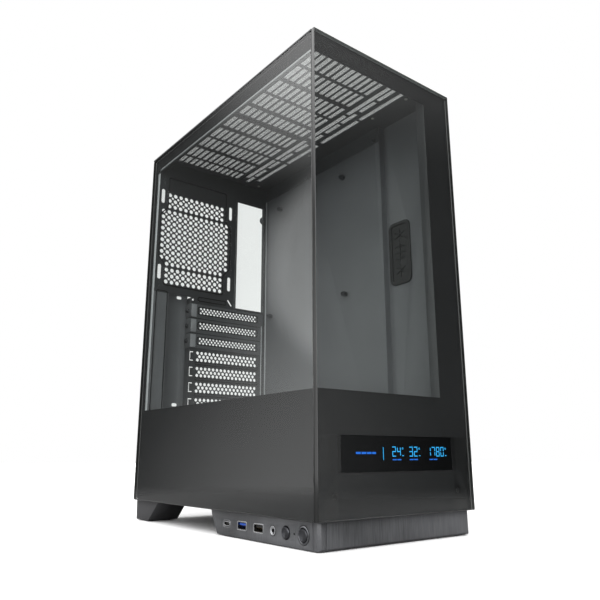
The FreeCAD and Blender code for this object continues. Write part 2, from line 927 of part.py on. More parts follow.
def front_glass_pane():
    """The clear front panel."""
    outline = chamfered("rear", y_front, x_left, x_right, z_bottom, z_top, front_glass_corner)
    return plate("rear", glass, outline)


def front_glass_border():
    """The black printed border on the inner face of the front glass, with the display window."""
    r = panel_gap
    z_low = z_bottom + border_bottom
    z_high = z_top - border_top
    x_in = x_right - border_right
    outline = polygon("rear", y_glass, [
        (x_left + r, z_bottom + r), (x_right - r, z_bottom + r), (x_right - r, z_top - r),
        (x_left + r, z_top - r), (x_left + r, z_high), (x_in, z_high), (x_in, z_low), (x_left + r, z_low)])
    window = chamfered("rear", y_glass, x_display, x_display + display_width, z_display,
                       z_display + display_height, display_corner)
    return plate("rear", print_film, outline, [window])


def studs(plane, places, start):
    """The pins bonded to a glass panel, with tapered tips."""
    end = start + stud_length
    profile = [(start, stud_radius), (end - stud_tip, stud_radius), (end, stud_radius - stud_tip)]
    return group([faceted(plane, u, v, pin_sides, profile) for u, v in places])


def clip(plane, u, v, face):
    """A snap clip: a neck through the sheet and a square head behind it, with a bore for the stud."""
    neck = clip_neck / 2
    head = clip_size / 2
    bore = stud_radius + pin_gap
    pieces = []
    for start, depth, half in ((face, steel, neck), (face + steel, clip_depth, head)):
        outline = rectangle(plane, start, u - half, u + half, v - half, v + half)
        hole = rectangle(plane, start, u - bore, u + bore, v - bore, v + bore)
        pieces.append(plate(plane, depth, outline, [hole]))
    return join(pieces)


def glass_clips():
    """The clips of both glass panels."""
    clips = [clip("side", y, z, x_frame) for y, z in left_stud_places()]
    clips += [clip("rear", x, z, y_frame) for x, z in front_stud_places()]
    return group(clips)


def display_screen():
    """The gloss screen in the window of the front border."""
    gap = display_gap
    return plate("rear", screen_depth, chamfered(
        "rear", y_glass + print_film, x_display + gap, x_display + display_width - gap, z_display + gap,
        z_display + display_height - gap, display_corner - gap))


def display_housing():
    """The plastic housing that carries the screen, with a flange behind the front plate."""
    x0 = x_display
    x1 = x_display + display_width
    z0 = z_display
    z1 = z_display + display_height
    gap = display_gap
    start = y_glass + print_film + screen_depth
    rim = display_flange
    flange_end = start + display_flange_depth
    back = block(x0 + rim, x1 - rim, flange_end, start + display_depth, z0 + rim, z1 - rim)
    flange = block(x0 - rim, x1 + rim, start, flange_end, z0 - rim, z1 + rim)
    return join([flange, back])


def thumbscrew_places():
    """X, Z of the thumbscrews of the right cover."""
    x = x_cover - thumbscrew_inset
    return [(x, z_bottom + thumbscrew_low), (x, z_side_top - thumbscrew_low)]


def right_side_panel():
    """The steel right cover with hemmed long edges and a rear lip."""
    face = block(x_cover, x_right, y_side, y_back, z_bottom, z_side_top)
    hem_low = block(x_cover - steel, x_cover, y_side, y_back, z_bottom, z_bottom + cover_hem)
    hem_high = block(x_cover - steel, x_cover, y_side, y_back, z_side_top - cover_hem, z_side_top)
    hem_front = block(x_cover - steel, x_cover, y_side, y_side + cover_hem, z_bottom, z_side_top)
    screw_holes = [many_sided("rear", y_back - steel, x, z, thumbscrew_shank + pin_gap, small_sides)
                   for x, z in thumbscrew_places()]
    lip = plate("rear", steel, rectangle("rear", y_back - steel, x_cover - cover_lip, x_cover, z_bottom,
                                         z_side_top), screw_holes)
    return join([face, hem_low, hem_high, hem_front, lip])


def cover_thumbscrews():
    """The captive thumbscrews of the right cover."""
    screws = []
    tip = y_back - steel - thumbscrew_shank_length
    end = y_back + thumbscrew_reach
    for x, z in thumbscrew_places():
        shank = faceted("rear", x, z, small_sides, [(tip, thumbscrew_shank), (y_back, thumbscrew_shank)])
        head = faceted("rear", x, z, knob_sides, [
            (y_back, thumbscrew_radius - thumbscrew_neck), (y_back + thumbscrew_neck, thumbscrew_radius),
            (end - thumbscrew_edge, thumbscrew_radius), (end, thumbscrew_radius - thumbscrew_edge)])
        screws.append(join([shank, head]))
    return group(screws)


def top_filter_frame():
    """The magnetic frame of the roof's dust filter."""
    x0 = x_filter + filter_gap
    x1 = x_filter + filter_width - filter_gap
    y0 = y_filter + filter_gap
    y1 = y_filter + filter_length - filter_gap
    z = z_roof + steel + mesh_sheet
    middle = (y0 + y1) / 2
    half = filter_rim / 4
    windows = [
        rectangle("flat", z, x0 + filter_rim, x1 - filter_rim, y0 + filter_rim, middle - half),
        rectangle("flat", z, x0 + filter_rim, x1 - filter_rim, middle + half, y1 - filter_rim)]
    return plate("flat", filter_frame_height, rectangle("flat", z, x0, x1, y0, y1), windows)


def top_filter_mesh():
    """The fine mesh bonded under the roof filter's frame."""
    return block(x_filter + filter_gap, x_filter + filter_width - filter_gap, y_filter + filter_gap,
                 y_filter + filter_length - filter_gap, z_roof + steel, z_roof + steel + mesh_sheet)


def drawer_box():
    """X, Y and Z limits of the sliding filter under the floor."""
    front = y_intake - drawer_rim
    top = z_bottom - drawer_gap
    return -drawer_width / 2, drawer_width / 2, front, front + drawer_length, top - drawer_height, top


def intake_filter_frame():
    """The sliding frame of the filter under the power supply, with a pull tab at its rear."""
    x0, x1, y0, y1, z0, z1 = drawer_box()
    z = z0 + mesh_sheet
    rim = drawer_rim
    window = rectangle("flat", z, x0 + rim, x1 - rim, y0 + rim, y1 - rim)
    frame = plate("flat", drawer_height - mesh_sheet, rectangle("flat", z, x0, x1, y0, y1), [window])
    tab = block(-2 * rim, 2 * rim, y1, y1 + rim, z, z1)
    return join([frame, tab])


def intake_filter_mesh():
    """The fine mesh under the sliding frame."""
    x0, x1, y0, y1, z0, _ = drawer_box()
    return block(x0, x1, y0, y1, z0, z0 + mesh_sheet)


def supply_pads():
    """The rubber strips that a power supply rests on."""
    pads = []
    x0 = x_left + supply_left
    for x in (x0 + pad_width, x0 + supply_width - 2 * pad_width):
        for y in (y_wall - panel_depth / 3, y_wall - 2 * pad_length):
            pads.append(block(x, x + pad_width, y, y + pad_length, z_pan, z_pan + supply_pad))
    return group(pads)


def base_profile(inset, z_low, z_high):
    """Side outline of the base, with its sloping rear end, drawn in by an inset."""
    front = y_base + inset
    back = y_base + base_length - inset
    edge = base_edge
    slope_z = z_bottom - base_slope_top
    return [
        (front, z_low + edge), (front + edge, z_low), (back - base_slope - base_slope_bottom, z_low),
        (back - base_slope, z_low + base_slope_bottom), (back - base_edge, slope_z), (back, z_high),
        (front, z_high)]


def port_cutters():
    """The holes through the base's left wall, one for each port and button."""
    w = x_base - base_wall
    deep = 3 * base_wall
    gap = port_gap
    outlines = []
    for offset in (usb3_y, usb2_y):
        y = y_front + offset
        outlines.append(rectangle("side", w, y - usb_width / 2 - gap, y + usb_width / 2 + gap,
                                  port_height - usb_height / 2 - gap, port_height + usb_height / 2 + gap))
    y = y_front + usb_c_y
    half = usb_c_height / 2 + gap
    wide = usb_c_width / 2 + gap
    outlines.append(chamfered("side", w, y - wide, y + wide, port_height - half, port_height + half,
                              half * usb_c_corner))
    rounds = [(audio_y, audio_radius, round_sides), (reset_y, reset_radius, round_sides),
              (light_y, light_radius, pin_sides), (power_y, power_ring_radius, round_sides)]
    for offset, radius, sides in rounds:
        outlines.append(many_sided("side", w, y_front + offset, port_height, radius + gap, sides))
    return [plate("side", deep, outline) for outline in outlines]


def base_bosses():
    """X, Y of the screw bosses in the base."""
    left = x_board + board_depth + boss_inset
    right = x_right - base_right_inset - base_wall - boss_inset
    front = y_base + base_wall + boss_inset
    back = y_base + base_length - base_slope - base_wall - 2 * boss_inset
    return [(x, y) for x in (left, right) for y in (front, back)]


def board_posts():
    """X, Y of the short posts under the port board."""
    x = x_board + board_depth - boss_inset / 2
    front = y_front + power_y - board_margin / 2
    back = y_base + base_length - base_slope - base_wall - 3 * boss_inset / 2
    return [(x, front), (x, back)]


def front_base():
    """The moulded base under the front of the case: a hollow tray with a sloping rear end."""
    x0 = x_base
    x1 = x_right - base_right_inset
    outer = Part.Face(polygon("side", x0, base_profile(0, pad_proud, z_bottom)))
    outer = outer.extrude(Vector(x1 - x0, 0, 0))
    uprights = [edge for edge in outer.Edges if is_front_upright(edge)]
    outer = outer.makeChamfer(base_corner, uprights)
    inner = Part.Face(polygon("side", x0 + base_wall, base_profile(base_wall, z_base_floor, z_bottom + 1)))
    shell = outer.cut(inner.extrude(Vector(x1 - x0 - 2 * base_wall, 0, 0)))
    x_groove = x0 + base_groove_offset
    y_groove = y_base + base_groove_offset
    grooves = [
        block(x0 - 1, x0 + base_groove, y_groove, y_groove + base_groove, 0, z_bottom + 1),
        block(x_groove, x_groove + base_groove, y_base - 1, y_base + base_groove, 0, z_bottom + 1)]
    shell = shell.cut(group(grooves + port_cutters()))
    posts = [boss(x, y, z_base_floor) for x, y in base_bosses()]
    posts += [faceted("flat", x, y, boss_sides, [(z_base_floor, boss_radius), (z_board, boss_radius)])
              for x, y in board_posts()]
    return join([shell, *posts])


def boss(x, y, z_floor):
    """A post up to the floor of the chassis, with a bore for its screw."""
    outline = many_sided("flat", z_floor, x, y, boss_radius, boss_sides)
    bore = many_sided("flat", z_floor, x, y, boss_bore, boss_sides)
    return plate("flat", z_bottom - z_floor, outline, [bore])


def is_front_upright(edge):
    """Whether an edge of the base block is one of its two front uprights."""
    low, high = edge.BoundBox.ZMin, edge.BoundBox.ZMax
    at_front = abs(edge.BoundBox.YMax - y_base) < 0.01
    return at_front and high - low > base_height / 2


def base_pads():
    """The rubber pads under the base."""
    pads = []
    for x, y in base_bosses():
        outline = chamfered("flat", 0, x - base_pad_length / 2, x + base_pad_length / 2,
                            y - base_pad_width / 2, y + base_pad_width / 2, base_pad_corner)
        pads.append(plate("flat", pad_proud, outline))
    return group(pads)


def foot_profile(inset, z_low, z_high):
    """Side outline of a rear foot, drawn in by an inset."""
    y_top = y_front + foot_front + inset
    y_low = y_front + foot_front_bottom + inset
    y_low_back = y_front + foot_back_bottom - inset
    return [(y_low, z_low), (y_low_back, z_low), (y_back - inset, z_high), (y_top, z_high)]


def rear_foot(side):
    """A hollow moulded foot with a slanted front, on the left (-1) or the right (1)."""
    outer_x = side * (x_chassis if side > 0 else -x_frame)
    inner_x = outer_x - side * foot_width
    x0, x1 = min(outer_x, inner_x), max(outer_x, inner_x)
    outer = Part.Face(polygon("side", x0, foot_profile(0, z_foot, z_bottom)))
    outer = outer.extrude(Vector(x1 - x0, 0, 0))
    hollow = foot_profile(base_wall, z_foot + base_floor, z_bottom + 1)
    inner = Part.Face(polygon("side", x0 + base_wall, hollow))
    shell = outer.cut(inner.extrude(Vector(x1 - x0 - 2 * base_wall, 0, 0)))
    x = (x0 + x1) / 2
    y = y_front + (foot_front_bottom + foot_back_bottom) / 2
    return join([shell, boss(x, y, z_foot + base_floor)])


def foot_pads():
    """The rubber pads under the rear feet."""
    pads = []
    y0 = y_front + foot_front_bottom + foot_pad_inset
    y1 = y_front + foot_back_bottom - foot_pad_inset
    for x0, x1 in ((x_frame, x_frame + foot_width), (x_chassis - foot_width, x_chassis)):
        outline = chamfered("flat", 0, x0 + foot_pad_inset, x1 - foot_pad_inset, y0, y1, base_pad_corner)
        pads.append(plate("flat", pad_proud, outline))
    return group(pads)


def button(offset, radius, proud):
    """A push button: a domed cap, a flange behind the wall and a stem to its switch."""
    y = y_front + offset
    z = port_height
    face = x_base - proud
    seat = x_base + base_wall + button_gap
    flange_end = seat + button_flange
    stem_end = switch_face() - button_travel - button_gap
    cap = faceted("side", y, z, round_sides, [
        (face, radius - button_crown), (face + button_dome, radius - button_dome),
        (face + 2 * button_dome, radius), (seat, radius)])
    flange_radius = radius + button_flange_step
    flange = faceted("side", y, z, small_sides, [(seat, flange_radius), (flange_end, flange_radius)])
    stem = faceted("side", y, z, pin_sides, [(flange_end, button_stem), (stem_end, button_stem)])
    return join([cap, flange, stem])


def switch_face():
    """X of the small plungers that the button stems push."""
    return x_base + base_wall + switch_setback


def power_button():
    """The power button."""
    return button(power_y, power_radius, button_proud)


def reset_button():
    """The reset button."""
    return button(reset_y, reset_radius - button_gap, button_proud)


def power_button_ring():
    """The bright ring round the power button, set in the base's wall."""
    y = y_front + power_y
    outer = power_ring_radius
    face = x_base - ring_proud
    wall = x_base + base_wall
    body = faceted("side", y, port_height, round_sides, [
        (face, outer - ring_edge), (face + ring_edge, outer), (wall, outer)])
    bore = many_sided("side", face, y, port_height, power_radius + button_gap, round_sides)
    return body.cut(plate("side", wall - face, bore))


def status_light():
    """The light pipe between the two buttons."""
    return faceted("side", y_front + light_y, port_height, pin_sides, [
        (x_base - port_recess, light_radius), (switch_face() + switch_size, light_radius)])


def usb_shell_piece(offset):
    """The metal shell of a wide socket, closed at its back."""
    y = y_front + offset
    start = x_base + port_recess
    half = usb_width / 2
    low = port_height - usb_height / 2
    high = port_height + usb_height / 2
    end = start + usb_depth
    wall = usb_shell
    shell = block(start, end, y - half, y + half, low, high)
    hollow = block(start - 1, end - wall, y - half + wall, y + half - wall, low + wall, high - wall)
    return shell.cut(hollow)


def usb_insert(offset):
    """The tongue of a wide socket, on its back block."""
    y = y_front + offset
    start = x_base + port_recess
    end = start + usb_depth - usb_shell
    half = usb_width / 2 - usb_shell
    low = port_height - usb_height / 2 + usb_shell
    high = port_height + usb_height / 2 - usb_shell
    back = block(end - socket_back, end, y - half, y + half, low, high)
    wide = half - tongue_setback
    top = high - usb_tongue_room
    tongue = block(start + tongue_setback, end - socket_back, y - wide, y + wide, top - usb_tongue, top)
    return join([back, tongue])


def usb_c_shell_piece():
    """The oval metal shell of the small socket, with legs down to its board."""
    y = y_front + usb_c_y
    start = x_base + port_recess
    half = usb_c_height / 2
    shell = plate("side", usb_c_depth, usb_c_outline(start, 0), [usb_c_outline(start, usb_c_shell)])
    leg_top = port_height - half + usb_c_shell / 2
    leg_start = start + base_wall + port_gap
    legs = []
    for side in (-1, 1):
        edge = y + side * (usb_c_width / 2 - half)
        legs.append(block(leg_start, start + usb_c_depth, edge - usb_c_shell, edge + usb_c_shell,
                          z_board + board_thickness, leg_top))
    return join([shell, *legs])


def usb_c_outline(w, inset):
    """The small socket's outline, drawn in by an inset."""
    y = y_front + usb_c_y
    half = usb_c_height / 2 - inset
    wide = usb_c_width / 2 - inset
    return chamfered("side", w, y - wide, y + wide, port_height - half, port_height + half,
                     half * usb_c_corner)


def usb_c_insert():
    """The tongue of the small socket, on its back block."""
    y = y_front + usb_c_y
    start = x_base + port_recess
    end = start + usb_c_depth
    wide = usb_c_width / 2 - usb_c_shell - tongue_setback
    half = usb_c_tongue / 2
    back = plate("side", socket_back, usb_c_outline(end - socket_back, usb_c_shell))
    tongue = block(start + tongue_setback, end - socket_back, y - wide, y + wide, port_height - half,
                   port_height + half)
    return join([back, tongue])


def audio_jack():
    """The audio socket: a collar in the base's wall and a block on the board."""
    y = y_front + audio_y
    start = x_base - port_recess
    wall = x_base + base_wall + port_gap
    end = start + audio_depth
    bore = ring("side", start, y, port_height, audio_bore)
    collar = plate("side", wall - start,
                   many_sided("side", start, y, port_height, audio_radius, round_sides), [bore])
    half = audio_body / 2
    outline = rectangle("side", wall, y - half, y + half, z_board + board_thickness,
                        port_height + usb_height / 2)
    body = plate("side", end - wall, outline, [ring("side", wall, y, port_height, audio_bore)])
    return join([collar, body])


def io_board():
    """The circuit board that carries the ports and the switches."""
    x0 = x_board
    z = z_board
    y0 = y_front + power_y - board_margin
    y1 = y_front + usb_c_y + board_margin
    return block(x0, x0 + board_depth, y0, y1, z, z + board_thickness)


def front_switches():
    """The two small switches behind the buttons."""
    switches = []
    face = switch_face()
    body_face = face + switch_reach
    for offset in (power_y, reset_y):
        y = y_front + offset
        body = block(body_face, body_face + switch_size, y - switch_size / 2, y + switch_size / 2,
                     z_board + board_thickness, port_height + switch_size / 2)
        plunger = faceted("side", y, port_height, pin_sides, [
            (face, switch_button), (body_face, switch_button)])
        switches.append(join([body, plunger]))
    return group(switches)


def build_nodes():
    """Every piece of the case, under its own name."""
    nodes = {
        "bottom_pan": bottom_pan(),
        "rear_wall": rear_wall(),
        "supply_panel": supply_panel(),
        "roof_panel": roof_panel(),
        "motherboard_tray": motherboard_tray(),
        "front_frame": front_frame(),
        "power_supply_shroud": power_supply_shroud(),
        "cable_grommet": cable_grommet(),
        "motherboard_standoffs": motherboard_standoffs(),
        "tray_screws": tray_screws(),
        "slot_cover_screws": slot_cover_screws(),
        "slot_screw_cover": slot_screw_cover(),
        "slot_screw_cover_screws": pocket_screws(),
        "left_glass_pane": left_glass_pane(),
        "left_glass_border": left_glass_border(),
        "left_glass_studs": studs("side", left_stud_places(), x_glass + print_film),
        "front_glass_pane": front_glass_pane(),
        "front_glass_border": front_glass_border(),
        "front_glass_studs": studs("rear", front_stud_places(), y_glass + print_film),
        "glass_clips": glass_clips(),
        "display_screen": display_screen(),
        "display_housing": display_housing(),
        "right_side_panel": right_side_panel(),
        "cover_thumbscrews": cover_thumbscrews(),
        "top_filter_frame": top_filter_frame(),
        "top_filter_mesh": top_filter_mesh(),
        "intake_filter_frame": intake_filter_frame(),
        "intake_filter_mesh": intake_filter_mesh(),
        "supply_pads": supply_pads(),
        "front_base": front_base(),
        "base_pads": base_pads(),
        "rear_foot_left": rear_foot(-1),
        "rear_foot_right": rear_foot(1),
        "foot_pads": foot_pads(),
        "power_button": power_button(),
        "power_button_ring": power_button_ring(),
        "reset_button": reset_button(),
        "status_light": status_light(),
        "usb_c_shell": usb_c_shell_piece(),
        "usb_c_insert": usb_c_insert(),
        "usb3_shell": usb_shell_piece(usb3_y),
        "usb3_insert": usb_insert(usb3_y),
        "usb2_shell": usb_shell_piece(usb2_y),
        "usb2_insert": usb_insert(usb2_y),
        "audio_jack": audio_jack(),
        "io_board": io_board(),
        "front_switches": front_switches(),
    }
    for index in range(slot_cover_count):
        nodes[f"slot_cover_{index + 1}"] = slot_cover(index)
    return nodes


os.makedirs("parts", exist_ok=True)
for name, shape in build_nodes().items():
    shape.exportStep(f"parts/{name}.step")
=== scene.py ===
"""Studio scene of a mid tower computer case with a glass front and a glass left side."""
import json
import logging
import math
from dataclasses import dataclass, field
from enum import Enum

import bmesh
import bpy
from mathutils import Matrix, Vector


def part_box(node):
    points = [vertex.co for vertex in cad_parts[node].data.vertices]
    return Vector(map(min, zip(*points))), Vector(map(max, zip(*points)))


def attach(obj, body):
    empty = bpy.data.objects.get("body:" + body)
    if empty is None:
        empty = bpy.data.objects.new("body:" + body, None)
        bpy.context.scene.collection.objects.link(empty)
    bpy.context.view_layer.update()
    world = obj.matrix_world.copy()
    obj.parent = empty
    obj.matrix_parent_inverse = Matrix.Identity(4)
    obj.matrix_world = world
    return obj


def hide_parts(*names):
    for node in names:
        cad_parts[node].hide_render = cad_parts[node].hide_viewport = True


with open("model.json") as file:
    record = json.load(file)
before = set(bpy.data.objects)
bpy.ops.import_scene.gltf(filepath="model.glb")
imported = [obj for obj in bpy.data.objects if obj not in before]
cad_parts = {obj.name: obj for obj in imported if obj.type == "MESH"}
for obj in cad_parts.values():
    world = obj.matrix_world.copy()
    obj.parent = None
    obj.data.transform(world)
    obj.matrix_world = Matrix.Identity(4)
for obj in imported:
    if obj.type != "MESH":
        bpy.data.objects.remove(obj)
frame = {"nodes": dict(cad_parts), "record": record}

MM = 0.001
WELD = 0.001
SMOOTH_ANGLE = math.radians(32)
CORNER_STEPS = 3
log = logging.getLogger("case")

# Planes that several pieces share, in millimetres
X_LEFT, X_RIGHT = -97.0, 97.0
Y_FRONT, Y_BACK = -176.5, 168.5
Z_LOW, Z_TOP = 22.7, 463.7
X_FRAME, X_CHASSIS = -92.5, 95.0
X_LEDGE = -38.8
Y_WALL = 154.5
Z_ROOF = 458.7
Z_PORT = 11.5
STEEL = 0.8
SLOT_HEIGHTS = tuple(260.4 - 20.32 * index for index in range(7))
COVERS = 3


def hex_to_linear(code: str, alpha: float = 1.0) -> tuple[float, float, float, float]:
    """Turn an sRGB hex colour into linear values.

    Args:
        code: Six hex digits after a hash sign.
        alpha: The fourth value.

    Returns:
        Linear red, green and blue, and the alpha.
    """
    channels = [int(code[place:place + 2], 16) / 255 for place in (1, 3, 5)]
    linear = [c / 12.92 if c <= 0.04045 else ((c + 0.055) / 1.055) ** 2.4 for c in channels]
    return (*linear, alpha)


def add_node(tree: bpy.types.NodeTree, kind: str, values: dict | None = None, links: dict | None = None,
             **settings: object) -> bpy.types.Node:
    """Add one shader node with its settings, values and links.

    Args:
        tree: The tree that gets the node.
        kind: Type name without the ShaderNode part.
        values: Input name or number to plain value.
        links: Input name or number to the output socket that feeds it.
        **settings: Attributes of the node.

    Returns:
        The new node.
    """
    node = tree.nodes.new("ShaderNode" + kind)
    for name, value in settings.items():
        setattr(node, name, value)
    for name, value in (values or {}).items():
        node.inputs[name].default_value = value
    for name, output in (links or {}).items():
        tree.links.new(output, node.inputs[name])
    return node


def new_tree(name: str) -> tuple[bpy.types.Material, bpy.types.NodeTree, bpy.types.Node]:
    """Start an empty material.

    Args:
        name: Name of the material.

    Returns:
        The material, its tree and its output node.
    """
    material = bpy.data.materials.new(name)
    material.use_nodes = True
    material.node_tree.nodes.clear()
    output = add_node(material.node_tree, "OutputMaterial")
    return material, material.node_tree, output


@dataclass(frozen=True)
class Grained:
    """An opaque finish whose colour, roughness and relief vary over fine grains.

    grain_mm is the size of one grain, stretch its length along Z against its width, and relief the
    bump's height in millimetres.
    """

    name: str
    colour: str
    light: str
    roughness: float
    grain_mm: float
    relief: float
    spread: float = 0.08
    metallic: float = 0.0
    stretch: float = 1.0
    coat: float = 0.0
    specular: float = 0.5

    def build(self) -> bpy.types.Material:
        """Make the material.

        Returns:
            The finished material.
        """
        material, tree, output = new_tree(self.name)
        place = add_node(tree, "TexCoord")
        scale = 1 / (self.grain_mm * MM)
        grain_place = add_node(tree, "Mapping", {"Scale": (scale, scale, scale / self.stretch)},
                               {"Vector": place.outputs["Object"]})
        grain = add_node(tree, "TexNoise", {"Scale": 1.0, "Detail": 3.0, "Roughness": 0.6},
                         {"Vector": grain_place.outputs[0]})
        patches = add_node(tree, "TexNoise", {"Scale": 14.0, "Detail": 2.0}, {"Vector": place.outputs["Object"]})
        both = add_node(tree, "Math", {1: 0.7}, {0: grain.outputs[0], 2: patches.outputs[0]},
                        operation="MULTIPLY_ADD")
        amount = add_node(tree, "MapRange", {"From Min": 0.55, "From Max": 1.15}, {"Value": both.outputs[0]})
        colour = add_node(tree, "Mix", {6: hex_to_linear(self.colour), 7: hex_to_linear(self.light)},
                          {0: amount.outputs[0]}, data_type="RGBA")
        rough = add_node(tree, "MapRange", {"To Min": self.roughness - self.spread,
                                            "To Max": self.roughness + self.spread},
                         {"Value": amount.outputs[0]})
        bump = add_node(tree, "Bump", {"Strength": 1.0, "Distance": self.relief * MM},
                        {"Height": grain.outputs[0]})
        shader = add_node(tree, "BsdfPrincipled", {"Metallic": self.metallic, "Coat Weight": self.coat,
                                                   "Coat Roughness": 0.15,
                                                   "Specular IOR Level": self.specular},
                          {"Base Color": colour.outputs[2], "Roughness": rough.outputs[0],
                           "Normal": bump.outputs[0]})
        tree.links.new(shader.outputs[0], output.inputs[0])
        return material


@dataclass(frozen=True)
class Turned:
    """Metal turned on a lathe: fine rings about the axis through a point, given in millimetres."""

    name: str
    colour: str
    light: str
    centre: tuple
    ring_mm: float = 0.45
    roughness: float = 0.3

    def build(self) -> bpy.types.Material:
        """Make the material.

        Returns:
            The finished material.
        """
        material, tree, output = new_tree(self.name)
        place = add_node(tree, "TexCoord")
        centred = add_node(tree, "Mapping", {"Location": tuple(-MM * value for value in self.centre),
                                             "Scale": (0.0, 1.0, 1.0)}, {"Vector": place.outputs["Object"]})
        far = add_node(tree, "VectorMath", {}, {0: centred.outputs[0]}, operation="LENGTH")
        wave = add_node(tree, "Math", {1: math.tau / (self.ring_mm * MM)}, {0: far.outputs["Value"]},
                        operation="MULTIPLY")
        rings = add_node(tree, "Math", {}, {0: wave.outputs[0]}, operation="SINE")
        amount = add_node(tree, "MapRange", {"From Min": -1.0}, {"Value": rings.outputs[0]})
        colour = add_node(tree, "Mix", {6: hex_to_linear(self.colour), 7: hex_to_linear(self.light)},
                          {0: amount.outputs[0]}, data_type="RGBA")
        bump = add_node(tree, "Bump", {"Strength": 0.6, "Distance": 0.02 * MM}, {"Height": rings.outputs[0]})
        shader = add_node(tree, "BsdfPrincipled", {"Metallic": 1.0, "Roughness": self.roughness},
                          {"Base Color": colour.outputs[2], "Normal": bump.outputs[0]})
        tree.links.new(shader.outputs[0], output.inputs[0])
        return material


@dataclass(frozen=True)
class ClearGlass:
    """Polished tempered glass: see-through, with a mirror's gloss by angle and a light grey tint."""

    name: str
    tint: str
    roughness: float
    index: float = 1.52

    def build(self) -> bpy.types.Material:
        """Make the material.

        Returns:
            The finished material.
        """
        material, tree, output = new_tree(self.name)
        side = add_node(tree, "NewGeometry")
        index = add_node(tree, "Math", {1: 1 / self.index - self.index, 2: self.index},
                         {0: side.outputs["Backfacing"]}, operation="MULTIPLY_ADD")
        gloss = add_node(tree, "Fresnel", {}, {"IOR": index.outputs[0]})
        place = add_node(tree, "TexCoord")
        haze = add_node(tree, "TexNoise", {"Scale": 9.0, "Detail": 3.0}, {"Vector": place.outputs["Object"]})
        rough = add_node(tree, "MapRange", {"To Min": self.roughness * 0.5, "To Max": self.roughness * 1.5},
                         {"Value": haze.outputs[0]})
        through = add_node(tree, "BsdfTransparent", {"Color": hex_to_linear(self.tint)})
        mirror = add_node(tree, "BsdfGlossy", {"Color": (1, 1, 1, 1)}, {"Roughness": rough.outputs[0]})
        mixed = add_node(tree, "MixShader", {}, {0: gloss.outputs[0], 1: through.outputs[0],
                                                 2: mirror.outputs[0]})
        tree.links.new(mixed.outputs[0], output.inputs[0])
        return material


@dataclass(frozen=True)
class Coated:
    """Glass with a coating that takes its reflections away, as over a display."""

    name: str
    tint: str
    stain: str

    def build(self) -> bpy.types.Material:
        """Make the material.

        Returns:
            The finished material.
        """
        material, tree, output = new_tree(self.name)
        place = add_node(tree, "TexCoord")
        patches = add_node(tree, "TexNoise", {"Scale": 40.0}, {"Vector": place.outputs["Object"]})
        colour = add_node(tree, "Mix", {6: hex_to_linear(self.tint), 7: hex_to_linear(self.stain)},
                          {0: patches.outputs[0]}, data_type="RGBA")
        through = add_node(tree, "BsdfTransparent", {}, {"Color": colour.outputs[2]})
        tree.links.new(through.outputs[0], output.inputs[0])
        return material


@dataclass(frozen=True)
class Glow:
    """A lit segment of a display, its colour varied in fine spots between two tones."""

    name: str
    colour: str
    edge: str
    power: float

    def build(self) -> bpy.types.Material:
        """Make the material.

        Returns:
            The finished material.
        """
        material, tree, output = new_tree(self.name)
        place = add_node(tree, "TexCoord")
        spots = add_node(tree, "TexNoise", {"Scale": 900.0, "Detail": 1.0}, {"Vector": place.outputs["Object"]})
        colour = add_node(tree, "Mix", {6: hex_to_linear(self.colour), 7: hex_to_linear(self.edge)},
                          {0: spots.outputs[0]}, data_type="RGBA")
        shader = add_node(tree, "BsdfPrincipled", {"Roughness": 0.3, "Emission Strength": self.power},
                          {"Base Color": colour.outputs[2], "Emission Color": colour.outputs[2]})
        tree.links.new(shader.outputs[0], output.inputs[0])
        return material


# Polyester powder coat, sprayed and baked: near black with a fine orange peel
POWDER_COAT = Grained("powder_coated_steel", "#2c2d2f", "#38393b", 0.42, 0.7, 0.03)
COVER_COAT = Grained("powder_coated_cover_steel", "#2a2b2e", "#343538", 0.45, 0.7, 0.03)
# The same coat on the small slot covers, in a lighter tone than the wall's
SLOT_COAT = Grained("powder_coated_slot_steel", "#4a4b4d", "#5c5d60", 0.4, 0.7, 0.02)
# Paler copies of the same coat on the tray and the plate beside the slots: painted light, standing in for the light
# that falls on them
TRAY_COAT_LIT = Grained("powder_coated_tray_steel_painted_light", "#4e4f52", "#5a5b5e", 0.45, 0.7, 0.03)
PLATE_COAT_LIT = Grained("powder_coated_plate_steel_painted_light", "#67686b", "#747578", 0.42, 0.7, 0.02)
# Pale grey strips at the slot covers' tabs: a painted highlight
TAB_HIGHLIGHT = Grained("painted_tab_highlight_steel", "#8c8d90", "#a0a1a4", 0.35, 0.7, 0.01)
# Near black on the raised lines: painted shade, standing in for the shadow along their foot
CREASE_SHADE = Grained("painted_crease_shade_coat", "#0b0b0c", "#121213", 0.6, 0.7, 0.01, specular=0.2)
# A pale copy of the same coat along sharp folds: a painted highlight where the folds catch the light
FOLD_HIGHLIGHT = Grained("painted_fold_highlight_coat", "#a2a3a6", "#b6b7ba", 0.3, 0.7, 0.01)
# Ceramic frit, screen printed on the back of the glass and fired: an even black
FRIT = Grained("fired_black_frit", "#262627", "#2a2a2b", 0.5, 1.5, 0.0, specular=0.0)
# Acrylic lens, extruded and polished: the deepest black of the object
LENS = Grained("polished_acrylic_lens", "#020203", "#050506", 0.08, 3.0, 0.0, 0.03)
# ABS moulded against a vertically brushed tool, which leaves short upright streaks
BRUSHED = Grained("brushed_moulded_abs", "#343537", "#6c6d70", 0.4, 0.7, 0.08, 0.1, stretch=30.0)
# ABS moulded against an etched tool
ABS = Grained("etched_moulded_abs", "#343436", "#424244", 0.55, 0.8, 0.03)
# Thermoplastic rubber, moulded: matt with a soft sheen
RUBBER = Grained("moulded_rubber", "#161616", "#212122", 0.7, 1.0, 0.02)
# Nylon monofilament, woven
MESH = Grained("woven_nylon_mesh", "#1c1c1d", "#28282a", 0.6, 1.0, 0.0)
# Nickel plated steel, stamped
NICKEL = Grained("nickel_plated_steel", "#9b9a97", "#b5b4b0", 0.28, 0.6, 0.005, 0.06, 1.0)
